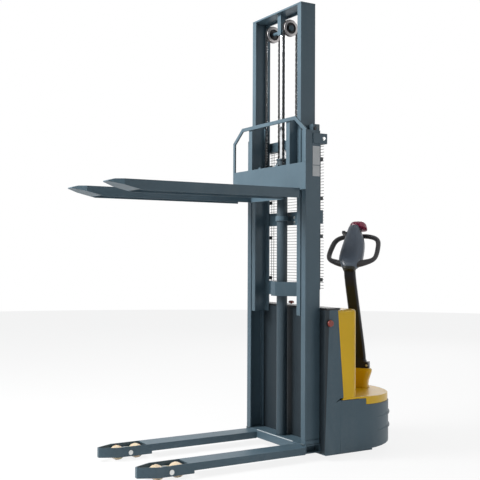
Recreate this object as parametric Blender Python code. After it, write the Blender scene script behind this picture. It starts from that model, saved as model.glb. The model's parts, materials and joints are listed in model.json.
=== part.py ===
"""Walkie stacker: a battery pedestrian stacker with a two-stage telescopic mast.

Metres, +Z up, forks towards -Y, the operator stands at +Y and the truck's left is +X.
Y is measured from the mast's front face while modelling. The truck empty then moves
everything so that the bounding box is centred over the origin, with the wheels on Z = 0.
The mast is modelled part raised and the tiller part turned, which is its rest pose.
"""

import math

import bmesh
import bpy
from mathutils import Matrix, Vector

# --- fits ------------------------------------------------------------------------------------
GAP = 0.0003                 # between faces that touch
CUT = 0.010                  # how far a cutter runs past the material it cuts
ROUND = 20                   # sides of a plain round piece
BORE_SIDES = 32              # sides of the wide bore that the kingpin turns in
RUN_FIT = 0.0005             # radial clearance of a wheel or a shaft that turns
SLIDE_FIT = 0.002            # side clearance of pieces that pass each other

# --- pose ------------------------------------------------------------------------------------
MAST_RAISED = 0.739          # inner mast above its lowest place
LIFT_STROKE = 1.305          # whole travel of the inner mast
STEER_TURNED = math.radians(35.0)

# --- mast columns ----------------------------------------------------------------------------
MAST_DEPTH = 0.103
MAST_FLANGE = 0.010          # flange thickness of every channel
OUTER_HALF = 0.320           # outer face of the outer mast
OUTER_LIP = 0.042            # flange width of the outer channel
OUTER_WEB = 0.010
OUTER_TOP = 1.915
RAIL_SPLIT = 0.010           # between the outer channel's lips and the inner channel
INNER_LIP = 0.038
INNER_REAR_LIP = 0.048       # the rear flange reaches further in
INNER_WEB = 0.010
INNER_LENGTH = 1.840
INNER_LOW = 0.0945           # bottom of the inner mast at its lowest place
LIP_X = OUTER_HALF - OUTER_LIP
INNER_HALF = LIP_X - RAIL_SPLIT
INNER_EDGE = INNER_HALF - INNER_LIP
INNER_REAR_EDGE = INNER_HALF - INNER_REAR_LIP
INNER_BOTTOM = INNER_LOW + MAST_RAISED
INNER_TOP = INNER_BOTTOM + INNER_LENGTH
REAR_OF_MAST = MAST_DEPTH + GAP

# --- load wheels and their bogies ------------------------------------------------------------
WHEEL_RADIUS = 0.040
WHEEL_SPLIT = 0.037          # between the treads of the two wheels
WHEEL_BASE = 2 * WHEEL_RADIUS + WHEEL_SPLIT
WHEEL_AXLE = 0.010
BOGIE_LINK = 0.006
BOGIE_END = 0.014            # link past a wheel's axle
BOGIE_PIN_Z = WHEEL_RADIUS + 0.006
PIN_RADIUS = 0.009
PIN_HEAD = 0.0135
PIN_HEAD_THICK = 0.004

# --- forks -----------------------------------------------------------------------------------
FORK_LENGTH = 1.150
FORK_PLATE = 0.006
FORK_DEPTH = 0.056
FORK_TAPER = 0.180
FORK_TIP_THICK = 0.014
FORK_CORNER = 0.045
FORK_FRONT_SOLID = 0.099     # from the tip to the hollow's front edge
FORK_HOLLOW_SLOPE = 0.081    # run of the hollow's front face
CARRIAGE_FRONT_Y = -0.061
FORK_TIP_Y = CARRIAGE_FRONT_Y - FORK_LENGTH

# --- base and support legs -------------------------------------------------------------------
LEG_X = OUTER_HALF - 0.0555  # centre of a leg and of the fork above it
LEG_WIDTH = 0.125
LEG_WALL = 0.006
LEG_TOP = 2 * WHEEL_RADIUS
LEG_BOTTOM = 0.026
LEG_TIP_Y = FORK_TIP_Y + 0.181
NOSE_BOTTOM = 0.017
NOSE_TAPER = 0.100
NOSE_FLAT = 0.012            # half width of the blunt tip
BOGIE_Y = LEG_TIP_Y + 0.175
WINDOW_REAR_Y = BOGIE_Y + WHEEL_BASE / 2 + WHEEL_RADIUS + 0.004
NOSE_REAR_Y = BOGIE_Y + 0.135
WHEEL_WIDTH = LEG_WIDTH - 0.055
FORK_WIDTH = LEG_WIDTH + 0.035
FORK_LOW_TOP = LEG_TOP + 0.012
FORK_TOP = FORK_LOW_TOP + 2 * MAST_RAISED
BEAM_BOTTOM = 0.030
BEAM_TOP = LEG_TOP + 0.012
BEAM_DEPTH = MAST_DEPTH + 0.0025
BEAM_HALF = LEG_X + LEG_WIDTH / 2
BEAM_WALL = 0.006
OUTER_BOTTOM = BEAM_TOP + GAP

# --- mast rollers ----------------------------------------------------------------------------
ROLLER_RADIUS = MAST_DEPTH / 2 - MAST_FLANGE - 0.0015
ROLLER_WIDTH = INNER_LIP - INNER_WEB - 2 * SLIDE_FIT
ROLLER_AXLE = 0.010
ROLLER_Y = MAST_DEPTH / 2
INNER_ROLLER_RISE = 0.045    # above the inner mast's bottom
GUIDE_RADIUS = (OUTER_HALF - OUTER_WEB - INNER_HALF) / 2 - SLIDE_FIT
GUIDE_LENGTH = 0.040
GUIDE_DROP = 0.030           # below the outer mast's top
GUIDE_PIN = 0.007

# --- carriage --------------------------------------------------------------------------------
CARRIAGE_PLATE = 0.010
CARRIAGE_HALF = OUTER_HALF + 0.085
CARRIAGE_PLATE_LOW = FORK_TOP - 0.010
CARRIAGE_PLATE_TOP = FORK_TOP + 0.146
FOOT_CLEAR = 0.006           # between the carriage's foot and a leg, forks down
SIDE_LIP = 0.038
SIDE_WEB = 0.006
SIDE_HALF = INNER_EDGE - SLIDE_FIT
SIDE_REAR_Y = ROLLER_Y + ROLLER_AXLE + 0.0025
SIDE_BOTTOM = FORK_TOP + 0.027
BACKREST_TOP = FORK_TOP + 0.420
BACKREST_KNEE = BACKREST_TOP - 0.085
BACKREST_TOP_HALF = CARRIAGE_HALF - 0.110
BACKREST_BAR = 0.022
CARRIAGE_ROLLER_LOW_Z = SIDE_BOTTOM + 0.051
CARRIAGE_ROLLER_HIGH_Z = BACKREST_TOP - 0.065

# --- lift cylinder ---------------------------------------------------------------------------
CYL_RADIUS = 0.0325
CYL_WALL = 0.006
CYL_BORE = CYL_RADIUS - CYL_WALL
CYL_FLOOR = 0.020
CYL_TOP = OUTER_TOP - 0.140
CYL_Y = MAST_DEPTH / 2
GLAND_RADIUS = CYL_RADIUS + 0.0045
GLAND_HEIGHT = 0.012
GLAND_DEPTH = 0.040          # rod guide inside the barrel's top
ROD_RADIUS = 0.018
PISTON_HEIGHT = 0.030
PISTON_SPARE = 0.030         # left above the piston with the mast right up
ROD_BOTTOM = CYL_TOP - GLAND_DEPTH - PISTON_HEIGHT - PISTON_SPARE - (LIFT_STROKE - MAST_RAISED)
CLAMP_RADIUS = CYL_RADIUS + 0.0085
CLAMP_HEIGHT = 0.022
CLAMP_ARM_HALF = 0.016

# --- chains and sheaves ----------------------------------------------------------------------
SHEAVE_RADIUS = 0.049
SHEAVE_GROOVE = SHEAVE_RADIUS - 0.007
SHEAVE_FLANGE = 0.003
SHEAVE_AXLE = 0.010
SHEAVE_Y = CYL_Y - 0.0095
SHEAVE_DROP = 0.1155         # below the inner mast's top
SHEAVE_Z = INNER_TOP - SHEAVE_DROP
AXLE_WASHER = 0.016
AXLE_WASHER_THICK = 0.006
CHAIN_X = 0.094
CHAIN_THICK = 0.010
CHAIN_WIDTH = 0.014
SHEAVE_WIDTH = CHAIN_WIDTH + 0.008
HANGER_HALF = 0.018
HANGER_BOTTOM = SHEAVE_Z - 0.022
ANCHOR_LOW = CYL_TOP - 0.040
ANCHOR_HEIGHT = 0.025
ANCHOR_END = 0.014           # anchor bar past a chain's centre
ANCHOR_LAP = 0.012           # anchor bar over the gland's rear
ANCHOR_PAST_MAST = 0.0054
ANCHOR_BLOCK_HALF = 0.012
ANCHOR_BLOCK_HEIGHT = 0.035
ANCHOR_BLOCK_TOP = CARRIAGE_PLATE_TOP + 0.009

# --- ties ------------------------------------------------------------------------------------
TOP_TIE_HEIGHT = 0.060
TOP_TIE_LOW = OUTER_TOP - 0.017 - TOP_TIE_HEIGHT
TOP_TIE_DEPTH = 0.047
MID_TIE_HEIGHT = 0.060
MID_TIE_LOW = OUTER_TOP - 0.485 - MID_TIE_HEIGHT
MID_TIE_DEPTH = 0.022
LOW_TIE_HEIGHT = 0.086
LOW_TIE_Z = INNER_BOTTOM + 0.1045
LOW_TIE_THICK = 0.008
LOW_TIE_NOSE = 0.022         # half width of its front flat
LOW_TIE_FRONT_Y = -0.014
LOW_TIE_REAR_Y = MAST_DEPTH - MAST_FLANGE / 2 - LOW_TIE_THICK / 2
TOP_PLATE = 0.010            # lies over both columns
TOP_BEAM_HEIGHT = 0.0235     # its rear web, from the plate's top

# --- drive wheel and its carrier -------------------------------------------------------------
DRIVE_RADIUS = 0.110
DRIVE_WIDTH = 0.070
DRIVE_AXLE = 0.012
YOKE_FIT = 0.005
YOKE_PLATE = 0.008
YOKE_HALF = 0.030
YOKE_BOTTOM = DRIVE_RADIUS - 0.035
TURNTABLE_RADIUS = 0.090
TURNTABLE_BOTTOM = 2 * DRIVE_RADIUS + 0.012
CARRIER_BOTTOM = TURNTABLE_BOTTOM + 0.018
CARRIER_THICK = 0.008
CARRIER_HALF = 0.135
CARRIER_REAR = 0.085         # behind the steering axis
KINGPIN_RADIUS = 0.045
KINGPIN_RISE = 0.001         # above the deck
MOTOR_RADIUS = 0.045
MOTOR_LENGTH = 0.055
MOTOR_EDGE = 0.006

# --- body ------------------------------------------------------------------------------------
BODY_HALF = OUTER_HALF + 0.065
BODY_FRONT_Y = MAST_DEPTH - 0.010
BODY_WALL_Y = REAR_OF_MAST + 0.003
BODY_SPLIT_Y = 0.205         # slate housing meets yellow cover
BODY_SHEET = 0.004
BODY_TOP = 0.868
FLOOR_TOP = 0.038
FLOOR_THICK = 0.008
FLOOR_INSET = 0.007
LID_THICK = 0.012
COVER_REAR_Y = BODY_SPLIT_Y + 0.135
COVER_CORNER = 0.045
COVER_TOP_ROUND = 0.016
SKIRT_TOP_REAR = CARRIER_BOTTOM + 0.033
DECK_TOP = SKIRT_TOP_REAR + 0.047
SKIRT_TOP_SIDE = DECK_TOP - 0.012
COVER_BOTTOM = DECK_TOP + 0.001
SKIRT_STEP_Y = COVER_REAR_Y + 0.060
SKIRT_CURVE_Y = COVER_REAR_Y + 0.020     # the rounded tail starts here
STEER_Y = SKIRT_CURVE_Y + 0.300
SKIRT_REAR_Y = STEER_Y + DRIVE_RADIUS + 0.015
SKIRT_SHEET = 0.006
SKIRT_STEPS = 20
DECK_SHEET = 0.005
DECK_FRONT_Y = COVER_REAR_Y + 0.005
DECK_HOLE = 0.062
FLOOR_REAR_Y = COVER_REAR_Y + 0.110
POST_THICK = 0.012
POST_INSET = 0.004           # post ahead of the floor's rear edge
TRUCK_Y = -(FORK_TIP_Y + SKIRT_REAR_Y) / 2

# --- mesh guard ------------------------------------------------------------------------------
GUARD_HALF = OUTER_HALF - 0.030
GUARD_BOTTOM = BODY_TOP + 0.112
GUARD_TOP = OUTER_TOP - 0.055
GUARD_THICK = 0.003
GUARD_WIRE = 0.004
GUARD_COLUMNS = 7
GUARD_ROWS = 9
GUARD_TAB = 0.006
GUARD_TAB_PAST = 0.001
GUARD_TAB_HEIGHT = 0.012

# --- power parts -----------------------------------------------------------------------------
BAY_HALF = BODY_HALF - BODY_SHEET - 0.041
BAY_FRONT_Y = BODY_WALL_Y + BODY_SHEET + 0.0197
BAY_REAR_Y = COVER_REAR_Y - BODY_SHEET - 0.006
BATTERY_END_X = 0.080
BATTERY_HEIGHT = 0.270
BATTERY_GROOVE = 0.006
BATTERY_GROOVE_DEPTH = 0.012
TANK_START_X = BATTERY_END_X + 0.040
TANK_HEIGHT = 0.165
PUMP_RADIUS = 0.055
PUMP_HEIGHT = 0.160

# --- tiller ----------------------------------------------------------------------------------
BASE_HALF = 0.052
HINGE_Z = DECK_TOP + 0.100
LOBE_RADIUS = 0.035
BASE_FOOT = 0.040
TONGUE_HALF = 0.022
TONGUE_RADIUS = 0.024
HINGE_PIN = 0.008
ROOT_HALF = 0.045
ROOT_DEPTH = 0.024
ROOT_CLEAR = 0.002           # hinge block above the base's lobes
ROOT_TOP = HINGE_Z + 0.073
ARM_WIDTH = 0.060
ARM_THICK = 0.030
ARM_CHAMFER = 0.007
ARM_STATIONS = 9
ARM_SOCKET = 0.012           # how far the arm runs into the head
ARM_NECK = 0.035             # straight stretch below the head's foot
HEAD_BACK = -0.232           # head's foot ahead of the steering axis
HEAD_Z = HINGE_Z + 0.700
HEAD_TILT = math.radians(31.0)
HEAD_LENGTH = 0.292
HEAD_THICK = 0.058
HEAD_HALF = 0.060
HEAD_TOP_HALF = 0.035
HEAD_FOOT_WALL = 0.006
LOOP_HALF = 0.178
LOOP_THICK = 0.028
LOOP_BAR = 0.028
BELLY_RISE = 0.0085
BELLY_HALF = 0.032
BELLY_HEIGHT = 0.021
BELLY_ROUND = 0.009
BELLY_STEM = 0.006
BELLY_BORE_DEPTH = 0.016
WING_W = HEAD_LENGTH - 0.026
WING_SHAFT = 0.006
WING_IN = HEAD_TOP_HALF + 0.007
WING_WIDTH = 0.020
WING_REACH = 0.030
ROCKER_W = HEAD_LENGTH - 0.142
ROCKER_HALF = 0.018
ROCKER_REACH = 0.020
ROCKER_HEIGHT = 0.008
ROCKER_SLOPE = math.radians(9.0)

# --- controls on the body --------------------------------------------------------------------
STOP_X = -0.162
STOP_Y = BODY_SPLIT_Y + 0.027
STOP_RADIUS = 0.018
STOP_RISE = 0.014            # clear height under the mushroom
STOP_HEIGHT = 0.016
STOP_STEM = 0.006
STOP_STEM_DEPTH = 0.022
KEY_X = -(BODY_HALF - 0.075)
KEY_Y = BODY_SPLIT_Y + 0.040
KEY_RADIUS = 0.009
KEY_SHAFT = 0.0054
KEY_SHAFT_DEPTH = 0.018
KEY_RISE = 0.004
KEY_BOW_HALF = 0.009
KEY_BOW_THICK = 0.003
KEY_BOW_HEIGHT = 0.020
KNOB_Y = BODY_WALL_Y + 0.0207
KNOB_Z = BODY_TOP - 0.076
KNOB_RADIUS = 0.020
KNOB_RISE = 0.003
KNOB_LENGTH = 0.014
KNOB_STEM = 0.008
KNOB_STEM_DEPTH = 0.018

SLATE = ("slate_paint", (0.052, 0.080, 0.098), 0.42, 0.0)
YELLOW = ("yellow_paint", (0.55, 0.36, 0.012), 0.35, 0.0)
BLACK = ("black_plastic", (0.012, 0.013, 0.016), 0.45, 0.0)
STEEL = ("bright_steel", (0.55, 0.56, 0.57), 0.30, 1.0)
CHROME = ("chrome_rod", (0.75, 0.76, 0.77), 0.08, 1.0)
CHAIN = ("chain_steel", (0.10, 0.10, 0.105), 0.40, 0.9)
CREAM = ("polyurethane", (0.62, 0.50, 0.36), 0.40, 0.0)
RED = ("red_plastic", (0.45, 0.015, 0.02), 0.30, 0.0)
CRIMSON = ("crimson_plastic", (0.30, 0.008, 0.045), 0.30, 0.0)
RUBBER = ("drive_tyre", (0.020, 0.020, 0.021), 0.75, 0.0)


# --- helpers ---------------------------------------------------------------------------------
def make_material(spec):
    """One Principled material, made once and shared by the pieces that name it."""
    name, colour, roughness, metallic = spec
    material = bpy.data.materials.get(name)
    if material is None:
        material = bpy.data.materials.new(name)
        material.use_nodes = True
        shader = material.node_tree.nodes["Principled BSDF"]
        shader.inputs["Base Color"].default_value = (*colour, 1.0)
        shader.inputs["Roughness"].default_value = roughness
        shader.inputs["Metallic"].default_value = metallic
    return material


def make_object(name, bm, spec=SLATE, smooth=False):
    """Turn a bmesh into a named object with its own material."""
    bmesh.ops.recalc_face_normals(bm, faces=bm.faces)
    mesh = bpy.data.meshes.new(name)
    bm.to_mesh(mesh)
    bm.free()
    if smooth:
        mesh.shade_smooth()
        mesh.set_sharp_from_angle(angle=math.radians(35.0))
    mesh.materials.append(make_material(spec))
    obj = bpy.data.objects.new(name, mesh)
    bpy.context.collection.objects.link(obj)
    return obj


def add_box(bm, x0, x1, y0, y1, z0, z1):
    corners = [bm.verts.new((x, y, z)) for z in (z0, z1) for y in (y0, y1) for x in (x0, x1)]
    for face in ((0, 2, 3, 1), (4, 5, 7, 6), (0, 1, 5, 4), (2, 6, 7, 3), (0, 4, 6, 2), (1, 3, 7, 5)):
        bm.faces.new([corners[i] for i in face])


def box(name, x0, x1, y0, y1, z0, z1, spec=SLATE):
    bm = bmesh.new()
    add_box(bm, x0, x1, y0, y1, z0, z1)
    return make_object(name, bm, spec)


AXES = {
    "x": lambda a, b, t: (t, a, b),
    "y": lambda a, b, t: (a, t, b),
    "z": lambda a, b, t: (a, b, t),
}


def prism(name, outline, axis, start, end, spec=SLATE, smooth=False):
    """Extrude a flat outline along an axis: its two numbers are the other two axes in order."""
    to_point = AXES[axis]
    bm = bmesh.new()
    low = [bm.verts.new(to_point(a, b, start)) for a, b in outline]
    high = [bm.verts.new(to_point(a, b, end)) for a, b in outline]
    count = len(outline)
    bm.faces.new(low)
    bm.faces.new(high)
    for i in range(count):
        j = (i + 1) % count
        bm.faces.new((low[i], low[j], high[j], high[i]))
    return make_object(name, bm, spec, smooth)


def turned(name, profile, axis, centre, spec=STEEL, sides=ROUND, closed=False):
    """Turn a profile of (radius, height) points about an axis through the centre.

    An open profile starts and ends on the axis; a closed one is a ring's section.
    """
    to_point = {"x": lambda r, s, t: (t, r, s), "y": lambda r, s, t: (s, t, r),
                "z": lambda r, s, t: (r, s, t)}[axis]
    bm = bmesh.new()
    rings = []
    for radius, height in profile:
        if radius < 1e-9:
            rings.append([bm.verts.new(to_point(0.0, 0.0, height))])
            continue
        ring = []
        for k in range(sides):
            angle = 2 * math.pi * k / sides
            ring.append(bm.verts.new(to_point(radius * math.cos(angle), radius * math.sin(angle), height)))
        rings.append(ring)
    pairs = list(zip(rings, rings[1:]))
    if closed:
        pairs.append((rings[-1], rings[0]))
    for a, b in pairs:
        for k in range(sides):
            n = (k + 1) % sides
            if len(a) == 1:
                bm.faces.new((a[0], b[n], b[k]))
            elif len(b) == 1:
                bm.faces.new((a[k], a[n], b[0]))
            else:
                bm.faces.new((a[k], a[n], b[n], b[k]))
    obj = make_object(name, bm, spec, smooth=True)
    obj.location = centre
    return obj


def rod(name, radius, axis, start, end, centre, spec=STEEL, sides=ROUND):
    """A plain round bar; start and end are measured from the centre along the axis."""
    profile = [(0.0, start), (radius, start), (radius, end), (0.0, end)]
    return turned(name, profile, axis, centre, spec, sides)


def boolean(obj, other, operation):
    """Cut or join with a helper, which then stays as a hidden guide on the same parent."""
    modifier = obj.modifiers.new(other.name, "BOOLEAN")
    modifier.operation = operation
    modifier.object = other
    other.hide_render = True
    other.display_type = "WIRE"
    return obj


def cut(obj, *others):
    for other in others:
        boolean(obj, other, "DIFFERENCE")
    return obj


def join(obj, *others):
    for other in others:
        boolean(obj, other, "UNION")
    return obj


def set_origin(obj, point):
    """Move the origin of a piece, and of its guides, onto its joint's axis."""
    shift = Vector(point) - obj.location
    obj.data.transform(Matrix.Translation(-shift))
    obj.location = point
    return obj


def arc(centre, radius, start, end, steps):
    """Points on an arc, in degrees, both ends included."""
    points = []
    for k in range(steps + 1):
        angle = math.radians(start + (end - start) * k / steps)
        points.append((centre[0] + radius * math.cos(angle), centre[1] + radius * math.sin(angle)))
    return points


def mirrored(outline, sign):
    return [(sign * a, b) for a, b in outline]


SIDES = (("left", 1), ("right", -1))


# --- base and legs ---------------------------------------------------------------------------
def build_base():
    beam = box("base_crossbeam", -BEAM_HALF, BEAM_HALF, 0.0, BEAM_DEPTH, BEAM_BOTTOM, BEAM_TOP)
    hollow = box("crossbeam_hollow", -BEAM_HALF - CUT, BEAM_HALF + CUT, BEAM_WALL, BEAM_DEPTH - BEAM_WALL,
                 BEAM_BOTTOM + BEAM_WALL, BEAM_TOP - BEAM_WALL)
    cut(beam, hollow)


def leg_outline(inset):
    """Plan of a leg with its bow-shaped nose, about the leg's own centre line."""
    half = LEG_WIDTH / 2 - inset
    tip = LEG_TIP_Y + inset
    shoulder = LEG_TIP_Y + NOSE_TAPER + inset / 2
    rear = -GAP + (CUT if inset else 0.0)
    return [(half, rear), (half, shoulder), (NOSE_FLAT, tip), (-NOSE_FLAT, tip), (-half, shoulder),
            (-half, rear)]


def build_leg(side, sign):
    centre = sign * LEG_X

    def placed(outline):
        return [(centre + a, b) for a, b in outline]

    half = LEG_WIDTH / 2
    leg = prism("support_leg_" + side, placed(leg_outline(0.0)), "z", NOSE_BOTTOM, LEG_TOP)
    hollow = prism("leg_hollow_" + side, placed(leg_outline(LEG_WALL)), "z",
                   NOSE_BOTTOM - CUT, LEG_TOP - LEG_WALL)
    window = prism("leg_window_" + side,
                   placed([p for p in leg_outline(LEG_WALL) if p[1] < WINDOW_REAR_Y]
                          + [(-half + LEG_WALL, WINDOW_REAR_Y), (half - LEG_WALL, WINDOW_REAR_Y)]),
                   "z", LEG_TOP - 2 * LEG_WALL, LEG_TOP + CUT)
    step = box("leg_step_" + side, centre - half - CUT, centre + half + CUT, NOSE_REAR_Y, CUT,
               NOSE_BOTTOM - CUT, LEG_BOTTOM)
    bore = rod("leg_bore_" + side, PIN_RADIUS + RUN_FIT, "x", -half - CUT, half + CUT,
               (centre, BOGIE_Y, BOGIE_PIN_Z))
    cut(leg, hollow, window, step, bore)


def build_bogie(side, sign):
    """Rocking bogie: two links, a spacer, the pivot pin through the leg and two wheel axles."""
    centre = sign * LEG_X
    link_in = WHEEL_WIDTH / 2 + SLIDE_FIT
    link_out = link_in + BOGIE_LINK
    reach = WHEEL_BASE / 2
    pin_z = BOGIE_PIN_Z
    end = reach + BOGIE_END
    outline = [(BOGIE_Y - end, WHEEL_RADIUS - 0.012), (BOGIE_Y + end, WHEEL_RADIUS - 0.012),
               (BOGIE_Y + end, WHEEL_RADIUS + 0.012), (BOGIE_Y + 0.016, pin_z + 0.014),
               (BOGIE_Y - 0.016, pin_z + 0.014), (BOGIE_Y - end, WHEEL_RADIUS + 0.012)]
    inner = prism("bogie_" + side, outline, "x", centre - link_out, centre - link_in, STEEL)
    outer = prism("bogie_link_" + side, outline, "x", centre + link_in, centre + link_out, STEEL)
    spacer = box("bogie_spacer_" + side, centre - link_in - 0.001, centre + link_in + 0.001,
                 BOGIE_Y - 0.014, BOGIE_Y + 0.014, pin_z - 0.012, pin_z + 0.013, STEEL)
    half = LEG_WIDTH / 2
    face = half + GAP
    profile = [(0.0, -face - PIN_HEAD_THICK), (PIN_HEAD, -face - PIN_HEAD_THICK), (PIN_HEAD, -face),
               (PIN_RADIUS, -face), (PIN_RADIUS, face), (PIN_HEAD, face), (PIN_HEAD, face + PIN_HEAD_THICK),
               (0.0, face + PIN_HEAD_THICK)]
    pin = turned("bogie_pin_" + side, profile, "x", (centre, BOGIE_Y, pin_z))
    axles = [rod(f"bogie_axle_{side}_{tag}", WHEEL_AXLE, "x", -link_out - 0.002, link_out + 0.002,
                 (centre, BOGIE_Y + step * reach, WHEEL_RADIUS), sides=14)
             for tag, step in (("front", -1), ("rear", 1))]
    join(inner, outer, spacer, pin, *axles)
    for tag, step in (("front", -1), ("rear", 1)):
        crown = WHEEL_RADIUS
        edge = WHEEL_RADIUS - 0.007
        bore = WHEEL_AXLE + RUN_FIT
        width = WHEEL_WIDTH / 2
        section = [(bore, -width), (edge, -width), (crown, -width * 0.4), (crown, width * 0.4),
                   (edge, width), (bore, width)]
        turned(f"load_wheel_{side}_{tag}", section, "x", (centre, BOGIE_Y + step * reach, WHEEL_RADIUS),
               CREAM, closed=True)


# --- mast ------------------------------------------------------------------------------------
def channel(edge, rear_edge, back, web, sign):
    """Plan of a channel that opens towards the truck's middle."""
    rear = MAST_DEPTH - MAST_FLANGE
    points = [(back, 0.0), (back, MAST_DEPTH), (rear_edge, MAST_DEPTH), (rear_edge, rear),
              (back - web, rear), (back - web, MAST_FLANGE), (edge, MAST_FLANGE), (edge, 0.0)]
    return mirrored(points, sign)


def roller(name, axis, centre, radius, width, axle):
    half = width / 2
    bore = axle + RUN_FIT
    section = [(bore, -half), (radius, -half), (radius, half), (bore, half)]
    return turned(name, section, axis, centre, STEEL, closed=True)


def build_outer_mast():
    guide_z = OUTER_TOP - GUIDE_DROP
    for side, sign in SIDES:
        column = prism("outer_mast_" + side, channel(LIP_X, LIP_X, OUTER_HALF, OUTER_WEB, sign), "z",
                       OUTER_BOTTOM, OUTER_TOP)
        guide_x = sign * (INNER_HALF + GUIDE_RADIUS + GAP)
        reach = ROLLER_Y - MAST_FLANGE / 2
        pin = rod("guide_pin_" + side, GUIDE_PIN, "y", -reach, reach, (guide_x, ROLLER_Y, guide_z))
        join(column, pin)
        roller("guide_roller_" + side, "y", (guide_x, ROLLER_Y, guide_z), GUIDE_RADIUS,
               GUIDE_LENGTH, GUIDE_PIN)
    box("mast_top_tie", -OUTER_HALF, OUTER_HALF, REAR_OF_MAST, REAR_OF_MAST + TOP_TIE_DEPTH,
        TOP_TIE_LOW, TOP_TIE_LOW + TOP_TIE_HEIGHT)
    middle = MID_TIE_LOW + MID_TIE_HEIGHT / 2
    tie = box("mast_mid_tie", -OUTER_HALF, OUTER_HALF, REAR_OF_MAST, REAR_OF_MAST + MID_TIE_DEPTH,
              MID_TIE_LOW, MID_TIE_LOW + MID_TIE_HEIGHT)
    ring = turned("clamp_ring", [(CYL_RADIUS + GAP, -CLAMP_HEIGHT / 2), (CLAMP_RADIUS, -CLAMP_HEIGHT / 2),
                                 (CLAMP_RADIUS, CLAMP_HEIGHT / 2), (CYL_RADIUS + GAP, CLAMP_HEIGHT / 2)],
                  "z", (0.0, CYL_Y, middle), closed=True)
    arm_half = CLAMP_HEIGHT / 2 - 0.001
    arm = box("clamp_arm", -CLAMP_ARM_HALF, CLAMP_ARM_HALF, CYL_Y + CYL_RADIUS + 0.004, REAR_OF_MAST + 0.004,
              middle - arm_half, middle + arm_half)
    join(tie, arm, ring)


def build_inner_mast():
    for side, sign in SIDES:
        plan = channel(INNER_EDGE, INNER_REAR_EDGE, INNER_HALF, INNER_WEB, sign)
        column = prism("inner_mast_" + side, plan, "z", INNER_BOTTOM, INNER_TOP - TOP_PLATE - GAP)
        roller_z = INNER_BOTTOM + INNER_ROLLER_RISE
        roller_x = (INNER_HALF + OUTER_HALF - OUTER_WEB) / 2
        inward = roller_x - INNER_HALF + INNER_WEB / 2
        outward = ROLLER_WIDTH / 4
        stub = rod("inner_stub_" + side, ROLLER_AXLE, "x", -inward if sign > 0 else -outward,
                   outward if sign > 0 else inward, (sign * roller_x, ROLLER_Y, roller_z))
        join(column, stub)
        roller("inner_roller_" + side, "x", (sign * roller_x, ROLLER_Y, roller_z), ROLLER_RADIUS,
               ROLLER_WIDTH, ROLLER_AXLE)
    into_plate = INNER_TOP - TOP_PLATE / 2
    half = INNER_REAR_EDGE - GAP
    plate = box("inner_mast_top_beam", -INNER_HALF, INNER_HALF, 0.0, MAST_DEPTH,
                INNER_TOP - TOP_PLATE, INNER_TOP)
    web = box("top_beam_web", -half, half, MAST_DEPTH - MAST_FLANGE, MAST_DEPTH - 0.001,
              INNER_TOP - TOP_BEAM_HEIGHT, into_plate)
    hanger = box("top_beam_hanger", -HANGER_HALF, HANGER_HALF, SHEAVE_Y - HANGER_HALF,
                 SHEAVE_Y + HANGER_HALF, HANGER_BOTTOM, into_plate)
    washer = CHAIN_X + SHEAVE_WIDTH / 2 + GAP
    profile = [(0.0, -washer - AXLE_WASHER_THICK), (AXLE_WASHER, -washer - AXLE_WASHER_THICK),
               (AXLE_WASHER, -washer), (SHEAVE_AXLE, -washer), (SHEAVE_AXLE, washer), (AXLE_WASHER, washer),
               (AXLE_WASHER, washer + AXLE_WASHER_THICK), (0.0, washer + AXLE_WASHER_THICK)]
    axle = turned("sheave_axle", profile, "x", (0.0, SHEAVE_Y, SHEAVE_Z))
    join(plate, web, hanger, axle)

    slant = LOW_TIE_REAR_Y - LOW_TIE_FRONT_Y
    knee = LOW_TIE_NOSE + slant
    thick = LOW_TIE_THICK
    lean = thick * math.tan(math.radians(22.5))
    end = INNER_REAR_EDGE - GAP
    nose, front, rear = LOW_TIE_NOSE, LOW_TIE_FRONT_Y, LOW_TIE_REAR_Y
    front_edge = [(-end, rear), (-knee, rear), (-nose, front), (nose, front), (knee, rear), (end, rear)]
    rear_edge = [(end, rear + thick), (knee - lean, rear + thick), (nose - lean, front + thick),
                 (-nose + lean, front + thick), (-knee + lean, rear + thick), (-end, rear + thick)]
    prism("inner_mast_lower_tie", front_edge + rear_edge, "z", LOW_TIE_Z, LOW_TIE_Z + LOW_TIE_HEIGHT)


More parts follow.
